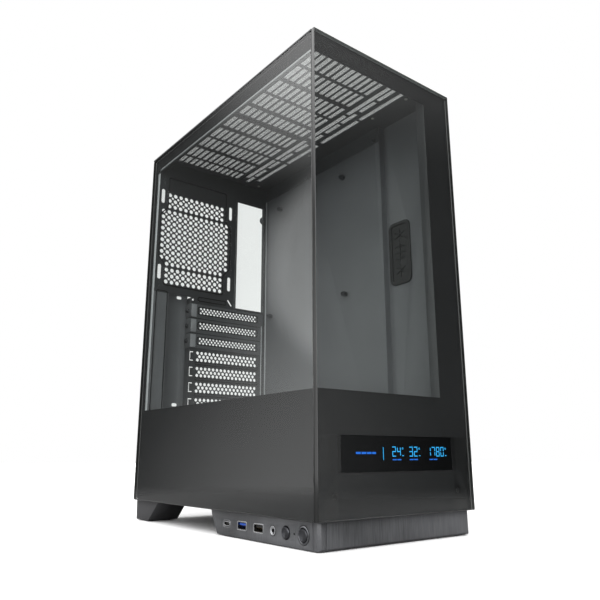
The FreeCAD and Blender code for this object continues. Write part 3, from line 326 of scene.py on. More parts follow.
# Gold plated bronze, rolled and stamped
GOLD = Grained("gold_plated_bronze", "#b08d3c", "#c9a552", 0.25, 0.5, 0.003, 0.05, 1.0)
# Black zinc, plated on a cold headed screw
BLACK_ZINC = Grained("black_zinc_screw", "#3a3b3d", "#4c4d50", 0.35, 0.5, 0.01, 0.06, 0.8)
# Aluminium, turned on a lathe
POWER_METAL = Turned("turned_aluminium_power", "#3c3d40", "#606165", (0.0, -152.5, Z_PORT))
RESET_METAL = Turned("turned_aluminium_reset", "#3c3d40", "#606165", (0.0, -129.2, Z_PORT))
# Chrome, plated on a moulded ring
CHROME = Grained("chrome_plated_ring", "#6c6d70", "#85868a", 0.16, 1.0, 0.0, 0.04, 1.0)
# PBT, moulded in blue
BLUE = Grained("moulded_blue_pbt", "#1d4fb4", "#2b62cc", 0.4, 0.8, 0.01)
SOCKET = Grained("moulded_black_pbt", "#0d0d0e", "#161617", 0.45, 0.8, 0.01)
# Glass fibre board with a green solder mask
BOARD = Grained("green_solder_mask", "#0f3a22", "#15492c", 0.3, 1.0, 0.01)
# Polycarbonate light pipe, moulded in a smoke tint
PIPE = Grained("smoked_moulded_polycarbonate", "#141517", "#202224", 0.2, 1.0, 0.0)
GLASS = ClearGlass("tempered_glass", "#fbfdfc", 0.02)
# The window over the display, coated so that it doesn't mirror
WINDOW = Coated("coated_display_window", "#fdfdfd", "#f4f6f6")
# The same moulding where its corner strip is left smooth
SMOOTH_STRIP = Grained("smooth_moulded_abs_strip", "#4e4f52", "#626366", 0.3, 0.7, 0.01)
# Chrome on the lip of the audio socket
SOCKET_LIP = Grained("plated_socket_lip", "#c6c7ca", "#d6d7da", 0.25, 0.6, 0.003, 0.05, 1.0)
# The ground and polished edge of the glass, in near black: painted shade standing in for how dark the edge looks, not
# the glass's own colour
GLASS_EDGE_SHADE = Grained("polished_glass_edge", "#090a0a", "#141615", 0.2, 2.0, 0.002, 0.05, coat=0.3)
# The lower edge of the front glass, in pale grey: a painted highlight along the edge
FREE_EDGE_HIGHLIGHT = Grained("free_glass_edge_painted_highlight", "#7c8280", "#939a97", 0.2, 2.0, 0.002, 0.05, coat=0.5)
# Light emitting segments behind the lens
CYAN = Glow("lit_cyan_segment", "#2fa4dc", "#2286c4", 1.0)
BLUE_GLOW = Glow("lit_blue_segment", "#1c66c8", "#1450a8", 0.8)

SLOT_FINISHES = {
    "black_steel": POWDER_COAT, "cover_steel": COVER_COAT, "clear_glass": GLASS, "printed_black": FRIT,
    "screen_black": LENS, "brushed_plastic": BRUSHED, "black_plastic": ABS, "black_rubber": RUBBER,
    "fine_mesh": MESH, "bare_steel": NICKEL, "black_screw": BLACK_ZINC, "button_metal": POWER_METAL,
    "ring_metal": CHROME, "blue_plastic": BLUE, "socket_black": SOCKET, "board_green": BOARD,
    "light_clear": PIPE,
}


class Plane(Enum):
    """Which way a flat shape faces: its own u, v and w against the object's X, Y and Z."""

    REAR = ((1, 0, 0), (0, 0, 1), (0, 1, 0))
    SIDE = ((0, 1, 0), (0, 0, 1), (1, 0, 0))
    FLAT = ((1, 0, 0), (0, 1, 0), (0, 0, 1))

    def matrix(self, w: float = 0.0) -> Matrix:
        """Return the matrix that turns u, v and a height above w into X, Y and Z."""
        return Matrix(self.value).transposed().to_4x4() @ Matrix.Translation((0.0, 0.0, w))


def rectangle(u0: float, u1: float, v0: float, v1: float) -> list[tuple[float, float]]:
    """Return the corners of a rectangle."""
    return [(u0, v0), (u1, v0), (u1, v1), (u0, v1)]


def cross(u: float, v: float, arm: float, half: float) -> list[tuple[float, float]]:
    """Return the corners of an upright cross about a point.

    Args:
        u: First coordinate of its middle.
        v: Second coordinate of its middle.
        arm: Length of an arm from the middle.
        half: Half of an arm's width.

    Returns:
        Twelve corners in order.
    """
    quarter = [(half, half), (half, arm), (-half, arm)]
    corners = []
    for turn in range(4):
        rotation = Matrix.Rotation(turn * math.pi / 2, 2)
        corners += [tuple(Vector((u, v)) + rotation @ Vector(point)) for point in quarter]
    return corners


class Form:
    """A mesh in the making, in millimetres, from closed shapes that bmesh operators make."""

    def __init__(self) -> None:
        """Start an empty mesh."""
        self.work = bmesh.new()

    @classmethod
    def softened(cls, node: str, width: float, segments: int = 2) -> "Form":
        """Copy a CAD node's mesh and round its sharp edges.

        Args:
            node: Name of the node.
            width: Width of the rounding in millimetres.
            segments: Steps across the rounding.

        Returns:
            The new form.
        """
        form = cls()
        work = form.work
        work.from_mesh(frame["nodes"][node].data)
        bmesh.ops.scale(work, vec=(1 / MM, 1 / MM, 1 / MM), verts=work.verts[:])
        bmesh.ops.remove_doubles(work, verts=work.verts[:], dist=WELD)
        bmesh.ops.dissolve_limit(work, angle_limit=math.radians(1), use_dissolve_boundaries=False,
                                 verts=work.verts[:], edges=work.edges[:], delimit=set())
        sharp = [edge for edge in work.edges if edge.is_manifold and edge.calc_face_angle(0.0) > 0.5]
        form.round_edges(sharp, width, segments)
        return form

    def loop(self, corners: list[tuple[float, float]], radius: float = 0.0) -> list[bmesh.types.BMEdge]:
        """Draw a closed outline.

        Args:
            corners: Its u, v corners in order.
            radius: Radius of its rounded corners.

        Returns:
            Its edges.
        """
        verts = [self.work.verts.new((u, v, 0.0)) for u, v in corners]
        face = self.work.faces.new(verts)
        if radius > 0:
            made = bmesh.ops.bevel(self.work, geom=verts, offset=radius, offset_type="OFFSET",
                                   segments=CORNER_STEPS, profile=0.5, affect="VERTICES", material=-1)
            face = made["verts"][0].link_faces[0]
        edges = list(face.edges)
        bmesh.ops.delete(self.work, geom=[face], context="FACES_ONLY")
        return edges

    def circle(self, u: float, v: float, radius: float, sides: int = 12,
               stretch: float = 0.0) -> list[bmesh.types.BMEdge]:
        """Draw a circle, or an upright obround.

        Args:
            u: First coordinate of its middle.
            v: Second coordinate of its middle.
            radius: Its radius.
            sides: Number of edges.
            stretch: Length of an obround's straight sides.

        Returns:
            Its edges.
        """
        place = Matrix.Translation((u, v, 0.0)) @ Matrix.Rotation(math.pi / sides, 4, "Z")
        verts = bmesh.ops.create_circle(self.work, cap_ends=False, segments=sides, radius=radius,
                                        matrix=place)["verts"]
        for vert in verts:
            vert.co.y += math.copysign(stretch / 2, vert.co.y - v)
        return list({edge for vert in verts for edge in vert.link_edges})

    def sheet(self, plane: Plane, w: float, thickness: float, outline: list, holes: list | None = None,
              edge: float = 0.0) -> None:
        """Make a flat plate from an outline and its holes.

        Args:
            plane: Which way it faces.
            w: Where its first face is.
            thickness: How far its second face is from that, of either sign.
            outline: Edges of the outline.
            holes: Lists of edges, one for each hole.
            edge: Width of the rounding along the outer edges of its second face.
        """
        edges = [*outline, *(item for hole in holes or [] for item in hole)]
        filled = bmesh.ops.triangle_fill(self.work, use_beauty=True, use_dissolve=False, edges=edges)["geom"]
        faces = [item for item in filled if isinstance(item, bmesh.types.BMFace)]
        base = {vert for face in faces for vert in face.verts}
        raised = bmesh.ops.extrude_face_region(self.work, geom=faces)["geom"]
        top = [item for item in raised if isinstance(item, bmesh.types.BMVert)]
        lids = {item for item in raised if isinstance(item, bmesh.types.BMFace)}
        bmesh.ops.translate(self.work, vec=(0.0, 0.0, thickness), verts=top)
        bmesh.ops.transform(self.work, matrix=plane.matrix(w), verts=[*base, *top])
        if edge > 0:
            rim = [item for item in raised if isinstance(item, bmesh.types.BMEdge)
                   and any(face not in lids for face in item.link_faces)]
            self.round_edges(rim, edge)

    def ridge(self, plane: Plane, w: float, height: float, corners: list, radius: float, width: float,
              finish: int = 0) -> None:
        """Make a raised line along a closed outline.

        Args:
            plane: Which way it faces.
            w: The plane that it stands on.
            height: Its height, of either sign.
            corners: Corners of its outer side.
            radius: Radius of its corners.
            width: Its width.
            finish: Its material number.
        """
        before = set(self.work.faces)
        outer = self.loop(corners, radius)
        face = bmesh.ops.contextual_create(self.work, geom=outer)["faces"][0]
        band = bmesh.ops.inset_individual(self.work, faces=[face], thickness=width,
                                          use_even_offset=True)["faces"]
        bmesh.ops.delete(self.work, geom=[face], context="FACES_ONLY")
        base = {vert for item in band for vert in item.verts}
        raised = bmesh.ops.extrude_face_region(self.work, geom=band)["geom"]
        top = [item for item in raised if isinstance(item, bmesh.types.BMVert)]
        bmesh.ops.translate(self.work, vec=(0.0, 0.0, height), verts=top)
        bmesh.ops.transform(self.work, matrix=plane.matrix(w), verts=[*base, *top])
        lids = {item for item in raised if isinstance(item, bmesh.types.BMFace)}
        rim = [item for item in raised if isinstance(item, bmesh.types.BMEdge)
               and any(other not in lids for other in item.link_faces)]
        self.round_edges(rim, width * 0.3, 1)
        for face in set(self.work.faces) - before:
            face.material_index = finish

    def box(self, low: tuple, high: tuple, edge: float = 0.0) -> None:
        """Make a block between two corners.

        Args:
            low: Its lowest corner.
            high: Its highest corner.
            edge: Width of the rounding of its edges.
        """
        size = Vector(high) - Vector(low)
        place = Matrix.LocRotScale((Vector(low) + Vector(high)) / 2, None, size)
        verts = bmesh.ops.create_cube(self.work, size=1.0, matrix=place)["verts"]
        if edge > 0:
            self.round_edges({item for vert in verts for item in vert.link_edges}, edge)

    def turn(self, plane: Plane, u: float, v: float, profile: list[tuple[float, float]], steps: int) -> list:
        """Spin a profile about an axis along the plane's normal.

        Args:
            plane: Which way the axis runs.
            u: First coordinate of the axis.
            v: Second coordinate of the axis.
            profile: Its points as w and radius.
            steps: Number of facets.

        Returns:
            The new vertices.
        """
        before = set(self.work.verts)
        spots = [self.work.verts.new((u + radius, v, w)) for w, radius in profile]
        lines = [self.work.edges.new(pair) for pair in zip(spots, spots[1:])]
        bmesh.ops.spin(self.work, geom=[*spots, *lines], cent=(u, v, 0.0), axis=(0.0, 0.0, 1.0),
                       angle=math.tau, steps=steps, use_merge=True)
        bmesh.ops.remove_doubles(self.work, verts=[item for item in self.work.verts if item not in before],
                                 dist=WELD)
        made = [item for item in self.work.verts if item not in before]
        bmesh.ops.transform(self.work, matrix=plane.matrix(), verts=made)
        return made

    def screw_head(self, plane: Plane, u: float, v: float, seat: float, height: float, radius: float) -> None:
        """Make a domed head with a cross recess.

        Args:
            plane: Which way its axis runs.
            u: First coordinate of the axis.
            v: Second coordinate of the axis.
            seat: Where the head sits.
            height: Its height, of either sign.
            radius: Its radius.
        """
        foot = 0.45 * height
        self.sheet(plane, seat, foot, self.circle(u, v, radius, 24))
        recess = self.loop(cross(u, v, 0.55 * radius, 0.12 * radius))
        self.sheet(plane, seat + foot, height - foot, self.circle(u, v, radius, 24), [recess])
        top = [item for item in self.work.edges if len(item.link_faces) == 2 and self.on_rim(
            item, plane, Vector((u, v)), seat + height, radius)]
        self.round_edges(top, 0.45 * abs(height), 3)

    @staticmethod
    def on_rim(edge: bmesh.types.BMEdge, plane: Plane, middle: Vector, w: float, radius: float) -> bool:
        """Say whether an edge runs along a circle.

        Args:
            edge: The edge.
            plane: Which way the circle faces.
            middle: The circle's u and v.
            w: The circle's height.
            radius: The circle's radius.

        Returns:
            True where both its ends are on the circle.
        """
        back = plane.matrix().inverted()
        ends = [back @ vert.co for vert in edge.verts]
        return all(abs(end.z - w) < 0.01 and abs((end.xy - middle).length - radius) < 0.01 for end in ends)

    def round_edges(self, edges: list, width: float, segments: int = 2) -> None:
        """Round edges by a width, in a number of steps."""
        bmesh.ops.bevel(self.work, geom=list(edges), offset=width, offset_type="OFFSET", segments=segments,
                        profile=0.5, affect="EDGES", clamp_overlap=True, material=-1)


@dataclass
class Workshop:
    """Every finish, built once, and the hanging of finished pieces on their bodies."""

    made: dict = field(default_factory=dict)

    def material(self, finish: object) -> bpy.types.Material:
        """Return the material of a finish, built at its first use."""
        if finish.name not in self.made:
            self.made[finish.name] = finish.build()
        return self.made[finish.name]

    def dress_nodes(self) -> None:
        """Give every CAD node the material of its slot in the record."""
        for part in frame["record"]["subparts"]:
            node = frame["nodes"][part["node"]]
            node.data.materials.clear()
            node.data.materials.append(self.material(SLOT_FINISHES[part["material_slot"]]))
        log.info("CAD nodes dressed: %d", len(frame["nodes"]))

    def hang(self, name: str, form: Form, body: str, slot: str, replaces: tuple = (),
             finishes: tuple = ()) -> bpy.types.Object:
        """Turn a form into a finished piece that rides on a body.

        Args:
            name: Name of the piece.
            form: Its mesh in millimetres.
            body: The body that it moves with.
            slot: The record's material slot that it takes its finish from.
            replaces: The CAD nodes that it stands for.
            finishes: Its finishes by material number, or empty for the slot's own.

        Returns:
            The piece.
        """
        work = form.work
        bmesh.ops.scale(work, vec=(MM, MM, MM), verts=work.verts[:])
        bmesh.ops.recalc_face_normals(work, faces=work.faces[:])
        mesh = bpy.data.meshes.new(name)
        work.to_mesh(mesh)
        work.free()
        for finish in finishes or (SLOT_FINISHES[slot],):
            mesh.materials.append(self.material(finish))
        mesh.shade_smooth()
        mesh.set_sharp_from_angle(angle=SMOOTH_ANGLE)
        piece = bpy.data.objects.new(name, mesh)
        bpy.context.scene.collection.objects.link(piece)
        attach(piece, body)
        if replaces:
            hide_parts(*replaces)
        log.info("%s: %d faces", name, len(mesh.polygons))
        return piece


@dataclass
class GlassPanels:
    """The two clear panels with their ground and polished edges."""

    side_front: float = -171.9
    side_top: float = 461.7
    thickness: float = 4.0
    side_corner: float = 2.4
    front_corner: float = 0.9
    edge: float = 0.5
    display: tuple = (-72.4, 72.4, 59.3, 89.7)
    print_window: tuple = (126.7, 446.8, 160.3)

    def build(self, shop: Workshop) -> None:
        """Make both panels."""
        side = Form()
        outline = side.loop(rectangle(self.side_front, Y_BACK, Z_LOW, self.side_top), self.side_corner)
        self.pane(side, Plane.SIDE, X_LEFT, outline)
        shop.hang("left_glass_panel", side, "left_glass", "clear_glass", ("left_glass_pane",),
                  (GLASS, GLASS_EDGE_SHADE))
        front = Form()
        outline = front.loop(rectangle(X_LEFT, X_RIGHT, Z_LOW, Z_TOP), self.front_corner)
        self.pane(front, Plane.REAR, Y_FRONT, outline)
        self.window(front)
        # Downward faces take material 3, the lower edge's painted highlight
        front.work.normal_update()
        for face in front.work.faces:
            if face.normal.z < -0.6:
                face.material_index = 3
        shop.hang("front_glass_panel", front, "front_glass", "clear_glass", ("front_glass_pane",),
                  (GLASS, GLASS_EDGE_SHADE, WINDOW, FREE_EDGE_HIGHLIGHT))
        self.side_print(shop)

    def side_print(self, shop: Workshop) -> None:
        """Make the side panel's print with the narrow rear and top margins that the photograph shows."""
        form = Form()
        x0, x1, z0, z1 = self.side_front + 0.2, Y_BACK - 0.2, Z_LOW + 0.2, self.side_top - 0.2
        cut = self.side_corner
        low, high, rear = self.print_window
        form.sheet(Plane.SIDE, X_LEFT + self.thickness, 0.3, form.loop([
            (x0 + cut, z0), (x1 - cut, z0), (x1, z0 + cut), (x1, z1 - cut), (x1 - cut, z1), (x0 + cut, z1),
            (x0, z1 - cut), (x0, high), (rear - 5.3, high), (rear, high - 5.8), (rear, low), (x0, low),
            (x0, z0 + cut)]))
        shop.hang("left_glass_print", form, "left_glass", "printed_black", ("left_glass_border",))

    def window(self, form: Form) -> None:
        """Cut the front panel's faces round the display and give the inside its own material."""
        x0, x1, z0, z1 = self.display
        for place, normal in (((x0, 0, 0), (1, 0, 0)), ((x1, 0, 0), (1, 0, 0)), ((0, 0, z0), (0, 0, 1)),
                              ((0, 0, z1), (0, 0, 1))):
            parts = [*form.work.verts, *form.work.edges, *form.work.faces]
            bmesh.ops.bisect_plane(form.work, geom=parts, dist=WELD, plane_co=place, plane_no=normal)
        for face in form.work.faces:
            middle = face.calc_center_median()
            if x0 < middle.x < x1 and z0 < middle.z < z1:
                face.material_index = 2

    def pane(self, form: Form, plane: Plane, w: float, outline: list) -> None:
        """Make one pane and mark its narrow faces.

        Args:
            form: The form that gets it.
            plane: Which way it faces.
            w: Its outer face.
            outline: Edges of its outline.
        """
        bmesh.ops.contextual_create(form.work, geom=outline)
        lid = bmesh.ops.extrude_face_region(form.work, geom=form.work.faces[:])["geom"]
        bmesh.ops.translate(form.work, vec=(0.0, 0.0, self.thickness),
                            verts=[item for item in lid if isinstance(item, bmesh.types.BMVert)])
        rims = [item for item in form.work.edges if item.calc_face_angle(0.0) > 1.0]
        form.round_edges(rims, self.edge, 1)
        bmesh.ops.recalc_face_normals(form.work, faces=form.work.faces[:])
        # Narrow faces take material 1, the edge's painted shade
        for face in form.work.faces:
            face.material_index = 0 if abs(face.normal.z) > 0.99 else 1
        bmesh.ops.transform(form.work, matrix=plane.matrix(w), verts=form.work.verts[:])


@dataclass
class RearWall:
    """The pressed rear wall: vent, port hole, slots, flanges and embossed lines."""

    vent_pitch: tuple = (8.08, 8.05)
    vent_first: tuple = (-76.7, 293.0)
    vent_columns: int = 11
    vent_rows: int = 16
    wide_rows: range = range(4, 13)
    vent_radius: float = 2.7
    small_radius: float = 1.85
    fan_slots: tuple = ((-86.7, 305.2), (18.3, 305.2), (-86.7, 410.2), (18.3, 410.2))
    io: tuple = (30.3, 74.8, 272.8, 431.5)
    low_vents: tuple = ((-4.5, 16, 0.0), (0.0, 15, 0.5), (4.5, 16, 0.0))
    low_vent_first: float = -26.1
    low_vent_pitch: float = 6.0
    low_vent_radius: float = 2.15
    emboss: float = 1.1
    emboss_width: float = 1.5

    def vent_places(self) -> list[tuple[float, float]]:
        """Return the middle of every large hole of the fan vent."""
        places = []
        for row in range(self.vent_rows):
            extra = 1 if row in self.wide_rows else 0
            for column in range(-extra, self.vent_columns + extra):
                places.append((self.vent_first[0] + self.vent_pitch[0] * column,
                               self.vent_first[1] + self.vent_pitch[1] * row))
        return places

    def fan_panel(self, form: Form) -> None:
        """Make the upper left part, with the vent between its four screw slots."""
        places = self.vent_places()
        holes = [form.circle(x, z, self.vent_radius, 14) for x, z in places]
        taken = {(round(x, 1), round(z, 1)) for x, z in places}
        step_x, step_z = self.vent_pitch
        for x, z in places:
            around = [(x + step_x, z), (x, z + step_z), (x + step_x, z + step_z)]
            if all((round(u, 1), round(v, 1)) in taken for u, v in around):
                holes.append(form.circle(x + step_x / 2, z + step_z / 2, self.small_radius, 10))
        holes += [form.circle(x, z, 2.5, 16, 15.0) for x, z in self.fan_slots]
        holes.append(form.loop([(16.2, 281.6), (22.4, 273.8), (24.2, 274.8), (18.4, 282.6)], 0.6))
        holes.append(form.circle(-36.4, 274.9, 1.5, 12))
        outline = form.loop([(X_FRAME, 277.7), (X_LEDGE, 277.7), (X_LEDGE, self.io[2]), (self.io[0], self.io[2]),
                             (self.io[0], 462.9), (X_FRAME, 462.9)])
        form.sheet(Plane.REAR, Y_WALL, STEEL, outline, holes)
        lines = [(-81, 287.5), (9, 287.5), (9, 316), (19, 326), (19, 385), (11, 395), (11, 439), (-80, 439),
                 (-80, 395), (-90, 385), (-90, 326), (-81, 316)]
        # The raised lines take material 1, their painted shade
        form.ridge(Plane.REAR, Y_WALL, -self.emboss, lines, 3.0, self.emboss_width, 1)
        form.ridge(Plane.REAR, Y_WALL, -self.emboss, rectangle(-30.0, 15.0, 273.6, 280.0), 3.1, 1.2, 1)

    def plain_panels(self, form: Form) -> None:
        """Make the parts round the port hole and left of the slots."""
        x0, x1, z0, z1 = self.io
        form.box((x0, Y_WALL, z1), (X_CHASSIS, Y_WALL + STEEL, 462.9))
        form.box((x1, Y_WALL, z0), (X_CHASSIS, Y_WALL + STEEL, z1))
        form.box((X_FRAME, Y_WALL, 126.7), (-71.6, Y_WALL + STEEL, 277.7))
        # Faces left of the ledge and below the vent take material 2, the plate's painted light
        for face in form.work.faces:
            middle = face.calc_center_median()
            if middle.x < X_LEDGE and middle.z < 277.6:
                face.material_index = 2
        # The raised lines take material 1, their painted shade
        form.ridge(Plane.REAR, Y_WALL, -self.emboss, rectangle(-90.0, -73.2, 118.0, 280.6), 3.0, 1.2, 1)
        form.ridge(Plane.REAR, Y_WALL, -0.9, rectangle(x0 - 3.0, x1 + 3.0, z0 - 3.0, z1 + 3.0), 3.0, 2.4)

    def slot_panel(self, form: Form) -> None:
        """Make the part with the windows behind the covers and the vents of the punched slots."""
        holes = []
        for index, z in enumerate(SLOT_HEIGHTS):
            if index < COVERS:
                holes.append(form.loop(rectangle(-32.0, 70.0, z - 6.35, z + 6.35), 2.0))
                continue
            for offset, count, shift in self.low_vents:
                for number in range(count):
                    x = self.low_vent_first + self.low_vent_pitch * (number + shift)
                    holes.append(form.circle(x, z + offset, self.low_vent_radius, 10))
            holes.append(form.loop([(-32.6, z + 6.1), (-37.9, z + 6.1), (-37.9, z - 6.1), (-32.6, z - 6.1),
                                    (-32.6, z - 4.9), (-36.7, z - 4.9), (-36.7, z + 4.9), (-32.6, z + 4.9)]))
        outline = form.loop(rectangle(X_LEDGE, X_CHASSIS, 126.7, 272.8))
        form.sheet(Plane.REAR, Y_WALL, STEEL, outline, holes)
        # The raised lines take material 1, their painted shade
        for z in SLOT_HEIGHTS[COVERS:]:
            form.ridge(Plane.REAR, Y_WALL, -0.9, rectangle(-30.2, 68.8, z - 11.4, z - 7.0), 2.1, 1.2, 1)

    def flanges(self, form: Form) -> None:
        """Make the folded flanges and the ledge of the slot screws."""
        fold = Y_WALL + STEEL
        clips = [form.loop(rectangle(156.5, 164.5, z - 4.0, z + 4.0), 0.5) for z in (60.0, 443.7)]
        form.sheet(Plane.SIDE, X_FRAME, STEEL, form.loop(rectangle(fold, 168.1, 23.5, 462.9)), clips)
        form.box((X_CHASSIS - STEEL, fold, 23.5), (X_CHASSIS, 166.7, 462.9))
        screws = [form.circle(88.2, z, 2.1, 20) for z in (62.7, 421.7)]
        form.sheet(Plane.REAR, 166.7, STEEL, form.loop(rectangle(82.0, X_CHASSIS, 23.5, 462.9)), screws)
        form.box((X_FRAME + STEEL, fold, 462.1), (82.0, 168.1, 462.9))
        bores = [form.circle(161.3, z, 1.7, 16) for z in SLOT_HEIGHTS[:COVERS]]
        form.sheet(Plane.SIDE, X_LEDGE, STEEL, form.loop(rectangle(fold, 166.5, 126.7, 277.7)), bores)

    def build(self, shop: Workshop) -> None:
        """Make the wall as one pressing."""
        form = Form()
        self.fan_panel(form)
        self.plain_panels(form)
        self.slot_panel(form)
        self.flanges(form)
        shop.hang("rear_wall_pressing", form, "chassis", "black_steel", ("rear_wall",),
                  (POWDER_COAT, CREASE_SHADE, PLATE_COAT_LIT))
        # Thin pale strips along the wall's folds: painted highlights
        folds = Form()
        folds.box((X_FRAME - 0.16, 154.4, 127.0), (X_FRAME, 160.9, 441.2), 0.05)
        folds.box((X_FRAME - 0.16, -168.0, 445.3), (X_FRAME, 154.8, 446.7), 0.05)
        folds.box((73.2, 153.0, 127.2), (74.2, Y_WALL, 252.0), 0.3)
        folds.box((79.6, 152.2, 127.2), (80.8, Y_WALL, 443.4), 0.4)
        shop.hang("rear_wall_fold_highlights", folds, "chassis", "black_steel", finishes=(FOLD_HIGHLIGHT,))


@dataclass
class SlotCovers:
    """The three removable covers, each with its vent holes, raised outline and folded tab."""

    rows: tuple = ((-2.7, 18, 0.0), (0.3, 17, 0.5), (3.3, 18, 0.0))
    first: float = -24.0
    pitch: float = 5.09
    radius: float = 1.5
    half: float = 9.2
    screw_y: float = 161.3

    def build(self, shop: Workshop) -> None:
        """Make the covers."""
        for index, z in enumerate(SLOT_HEIGHTS[:COVERS]):
            form = Form()
            holes = [form.circle(self.first + self.pitch * (number + shift), z + offset, self.radius, 8)
                     for offset, count, shift in self.rows for number in range(count)]
            outline = form.loop(rectangle(-39.6, 76.0, z - self.half, z + self.half), 1.0)
            form.sheet(Plane.REAR, Y_WALL, -STEEL, outline, holes)
            # The raised line takes material 1, its painted shade
            form.ridge(Plane.REAR, Y_WALL - STEEL, -0.8, rectangle(-29.0, 67.0, z - 5.2, z + 5.8), 2.6, 1.2, 1)
            # A thin pale block at the tab end takes material 2, a painted highlight
            before = set(form.work.faces)
            form.box((-38.4, Y_WALL - STEEL - 0.3, z - 8.5), (-30.6, Y_WALL - STEEL, z + 8.5), 0.1)
            for face in set(form.work.faces) - before:
                face.material_index = 2
            y = self.screw_y
            tab = form.loop([(Y_WALL, z - self.half), (166.5, z - self.half), (166.5, z - 1.8), (y - 1.8, z - 1.8),
                             (y - 1.8, z + 1.8), (166.5, z + 1.8), (166.5, z + self.half), (Y_WALL, z + self.half)])
            form.sheet(Plane.SIDE, -39.6, STEEL, tab)
            node = f"slot_cover_{index + 1}"
            shop.hang(node + "_plate", form, "chassis", "black_steel", (node,), (SLOT_COAT, CREASE_SHADE, TAB_HIGHLIGHT))


@dataclass
class Roof:
    """What the roof has beyond the CAD pressing: the bars that part each pair of slots, and the mesh."""

    first_x: float = -73.0
    pitch_x: float = 8.0
    columns: int = 12
    short_x: float = 34.6
    first_y: float = -154.0
    pitch_y: float = 61.0
    rows: int = 5
    slot: float = 25.5
    bar: float = 3.5
    last_y: float = 139.5
    half_width: float = 2.8
    wire: float = 0.36
    wire_pitch: float = 1.3
    rivets: tuple = ((56.6, -150.9), (56.2, -98.6), (56.4, 20.0), (56.4, 140.0), (-80.6, -146.6))

    def build(self, shop: Workshop) -> None:
        """Make the bars, the woven mesh and the softened frame of the filter."""
        bars = Form()
        xs = [self.first_x + self.pitch_x * index for index in range(self.columns)] + [self.short_x]
        for row in range(self.rows):
            y = self.first_y + self.pitch_y * row + self.slot
            for x in xs:
                if y + self.bar < self.last_y:
                    bars.box((x - self.half_width, y, Z_ROOF), (x + self.half_width, y + self.bar, Z_ROOF + STEEL))
        shop.hang("roof_grille_bars", bars, "chassis", "black_steel")
        self.mesh(shop)
        frame_form = Form.softened("top_filter_frame", 0.5)
        shop.hang("top_filter_rim", frame_form, "chassis", "black_plastic", ("top_filter_frame",))
        rivets = Form()
        for x, y in self.rivets:
            rivets.turn(Plane.FLAT, x, y, [(Z_ROOF, 0.0), (Z_ROOF, 1.9), (Z_ROOF - 0.5, 1.6), (Z_ROOF - 0.9, 0.9),
                                           (Z_ROOF - 1.0, 0.0)], 20)
        shop.hang("roof_rivets", rivets, "chassis", "bare_steel")

    def mesh(self, shop: Workshop) -> None:
        """Weave the roof filter's mesh; its real threads are finer, so they are drawn coarser."""
        low, high = (Vector(corner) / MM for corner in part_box("top_filter_mesh"))
        form = Form()
        middle = (low.z + high.z) / 2
        half = self.wire / 2
        count = int((high.x - low.x) / self.wire_pitch)
        for index in range(count):
            x = low.x + self.wire_pitch * (index + 0.5)
            form.box((x - half, low.y, middle - 0.15), (x + half, high.y, middle + 0.05))
        count = int((high.y - low.y) / self.wire_pitch)
        for index in range(count):
            y = low.y + self.wire_pitch * (index + 0.5)
            form.box((low.x, y - half, middle - 0.05), (high.x, y + half, middle + 0.15))
        shop.hang("top_filter_weave", form, "chassis", "fine_mesh", ("top_filter_mesh",))


@dataclass
class Display:
    """The lit content of the strip display: plain numbers and bars."""

    y: float = -172.4
    depth: float = 0.1
    digit_width: float = 4.6
    digit_height: float = 8.6
    stroke: float = 0.8
    centre_z: float = 76.3
    groups: tuple = (("24", -8.6), ("32", 13.3), ("1780", 37.6))
    segments: dict = field(default_factory=lambda: {
        "0": "abcdef", "1": "bc", "2": "abged", "3": "abgcd", "4": "fgbc", "5": "afgcd", "6": "afgedc",
        "7": "abc", "8": "abcdefg", "9": "abcdfg"})

    def digit(self, form: Form, number: str, x: float) -> None:
        """Draw one seven segment number with its lower left corner at x."""
        wide, high, stroke = self.digit_width, self.digit_height, self.stroke
        low = self.centre_z - high / 2
        mid = self.centre_z
        gap = 0.12
        bars = {
            "a": (x + gap, x + wide - gap, low + high - stroke, low + high),
            "d": (x + gap, x + wide - gap, low, low + stroke),
            "g": (x + gap, x + wide - gap, mid - stroke / 2, mid + stroke / 2),
            "b": (x + wide - stroke, x + wide, mid + stroke / 2 + gap, low + high - stroke - gap),
            "c": (x + wide - stroke, x + wide, low + stroke + gap, mid - stroke / 2 - gap),
            "f": (x, x + stroke, mid + stroke / 2 + gap, low + high - stroke - gap),
            "e": (x, x + stroke, low + stroke + gap, mid - stroke / 2 - gap),
        }
        for key in self.segments[number]:
            self.mark(form, *bars[key])

    def mark(self, form: Form, x0: float, x1: float, z0: float, z1: float) -> None:
        """Draw one lit block."""
        form.sheet(Plane.REAR, self.y, self.depth, form.loop(rectangle(x0, x1, z0, z1), 0.15))

    def build(self, shop: Workshop) -> None:
        """Draw the numbers, their unit marks, the bars under them and the parting line."""
        bright = Form()
        for text, start in self.groups:
            for place, number in enumerate(text):
                self.digit(bright, number, start + place * (self.digit_width + 1.5))
            end = start + len(text) * (self.digit_width + 1.5)
            ring = bright.circle(end + 0.9, 79.0, 0.9, 12)
            bright.sheet(Plane.REAR, self.y, self.depth, ring, [bright.circle(end + 0.9, 79.0, 0.5, 12)])
            self.mark(bright, end + 0.3, end + 2.2, 72.4, 73.1)
        self.mark(bright, -20.0, -19.4, 69.3, 80.0)
        shop.hang("display_numbers", bright, "chassis", "light_clear", finishes=(CYAN,))
        dim = Form()
        for x0, x1 in ((-52.0, -46.5), (-45.6, -40.0), (-39.2, -34.0), (-33.2, -28.7)):
            self.mark(dim, x0, x1, 74.2, 75.9)
        for x0, x1 in ((-8.4, -3.4), (-2.6, 2.4), (13.4, 18.4), (19.2, 24.2), (40.0, 45.0), (45.8, 50.8)):
            self.mark(dim, x0, x1, 68.9, 69.9)
        shop.hang("display_bars", dim, "chassis", "light_clear", finishes=(BLUE_GLOW,))


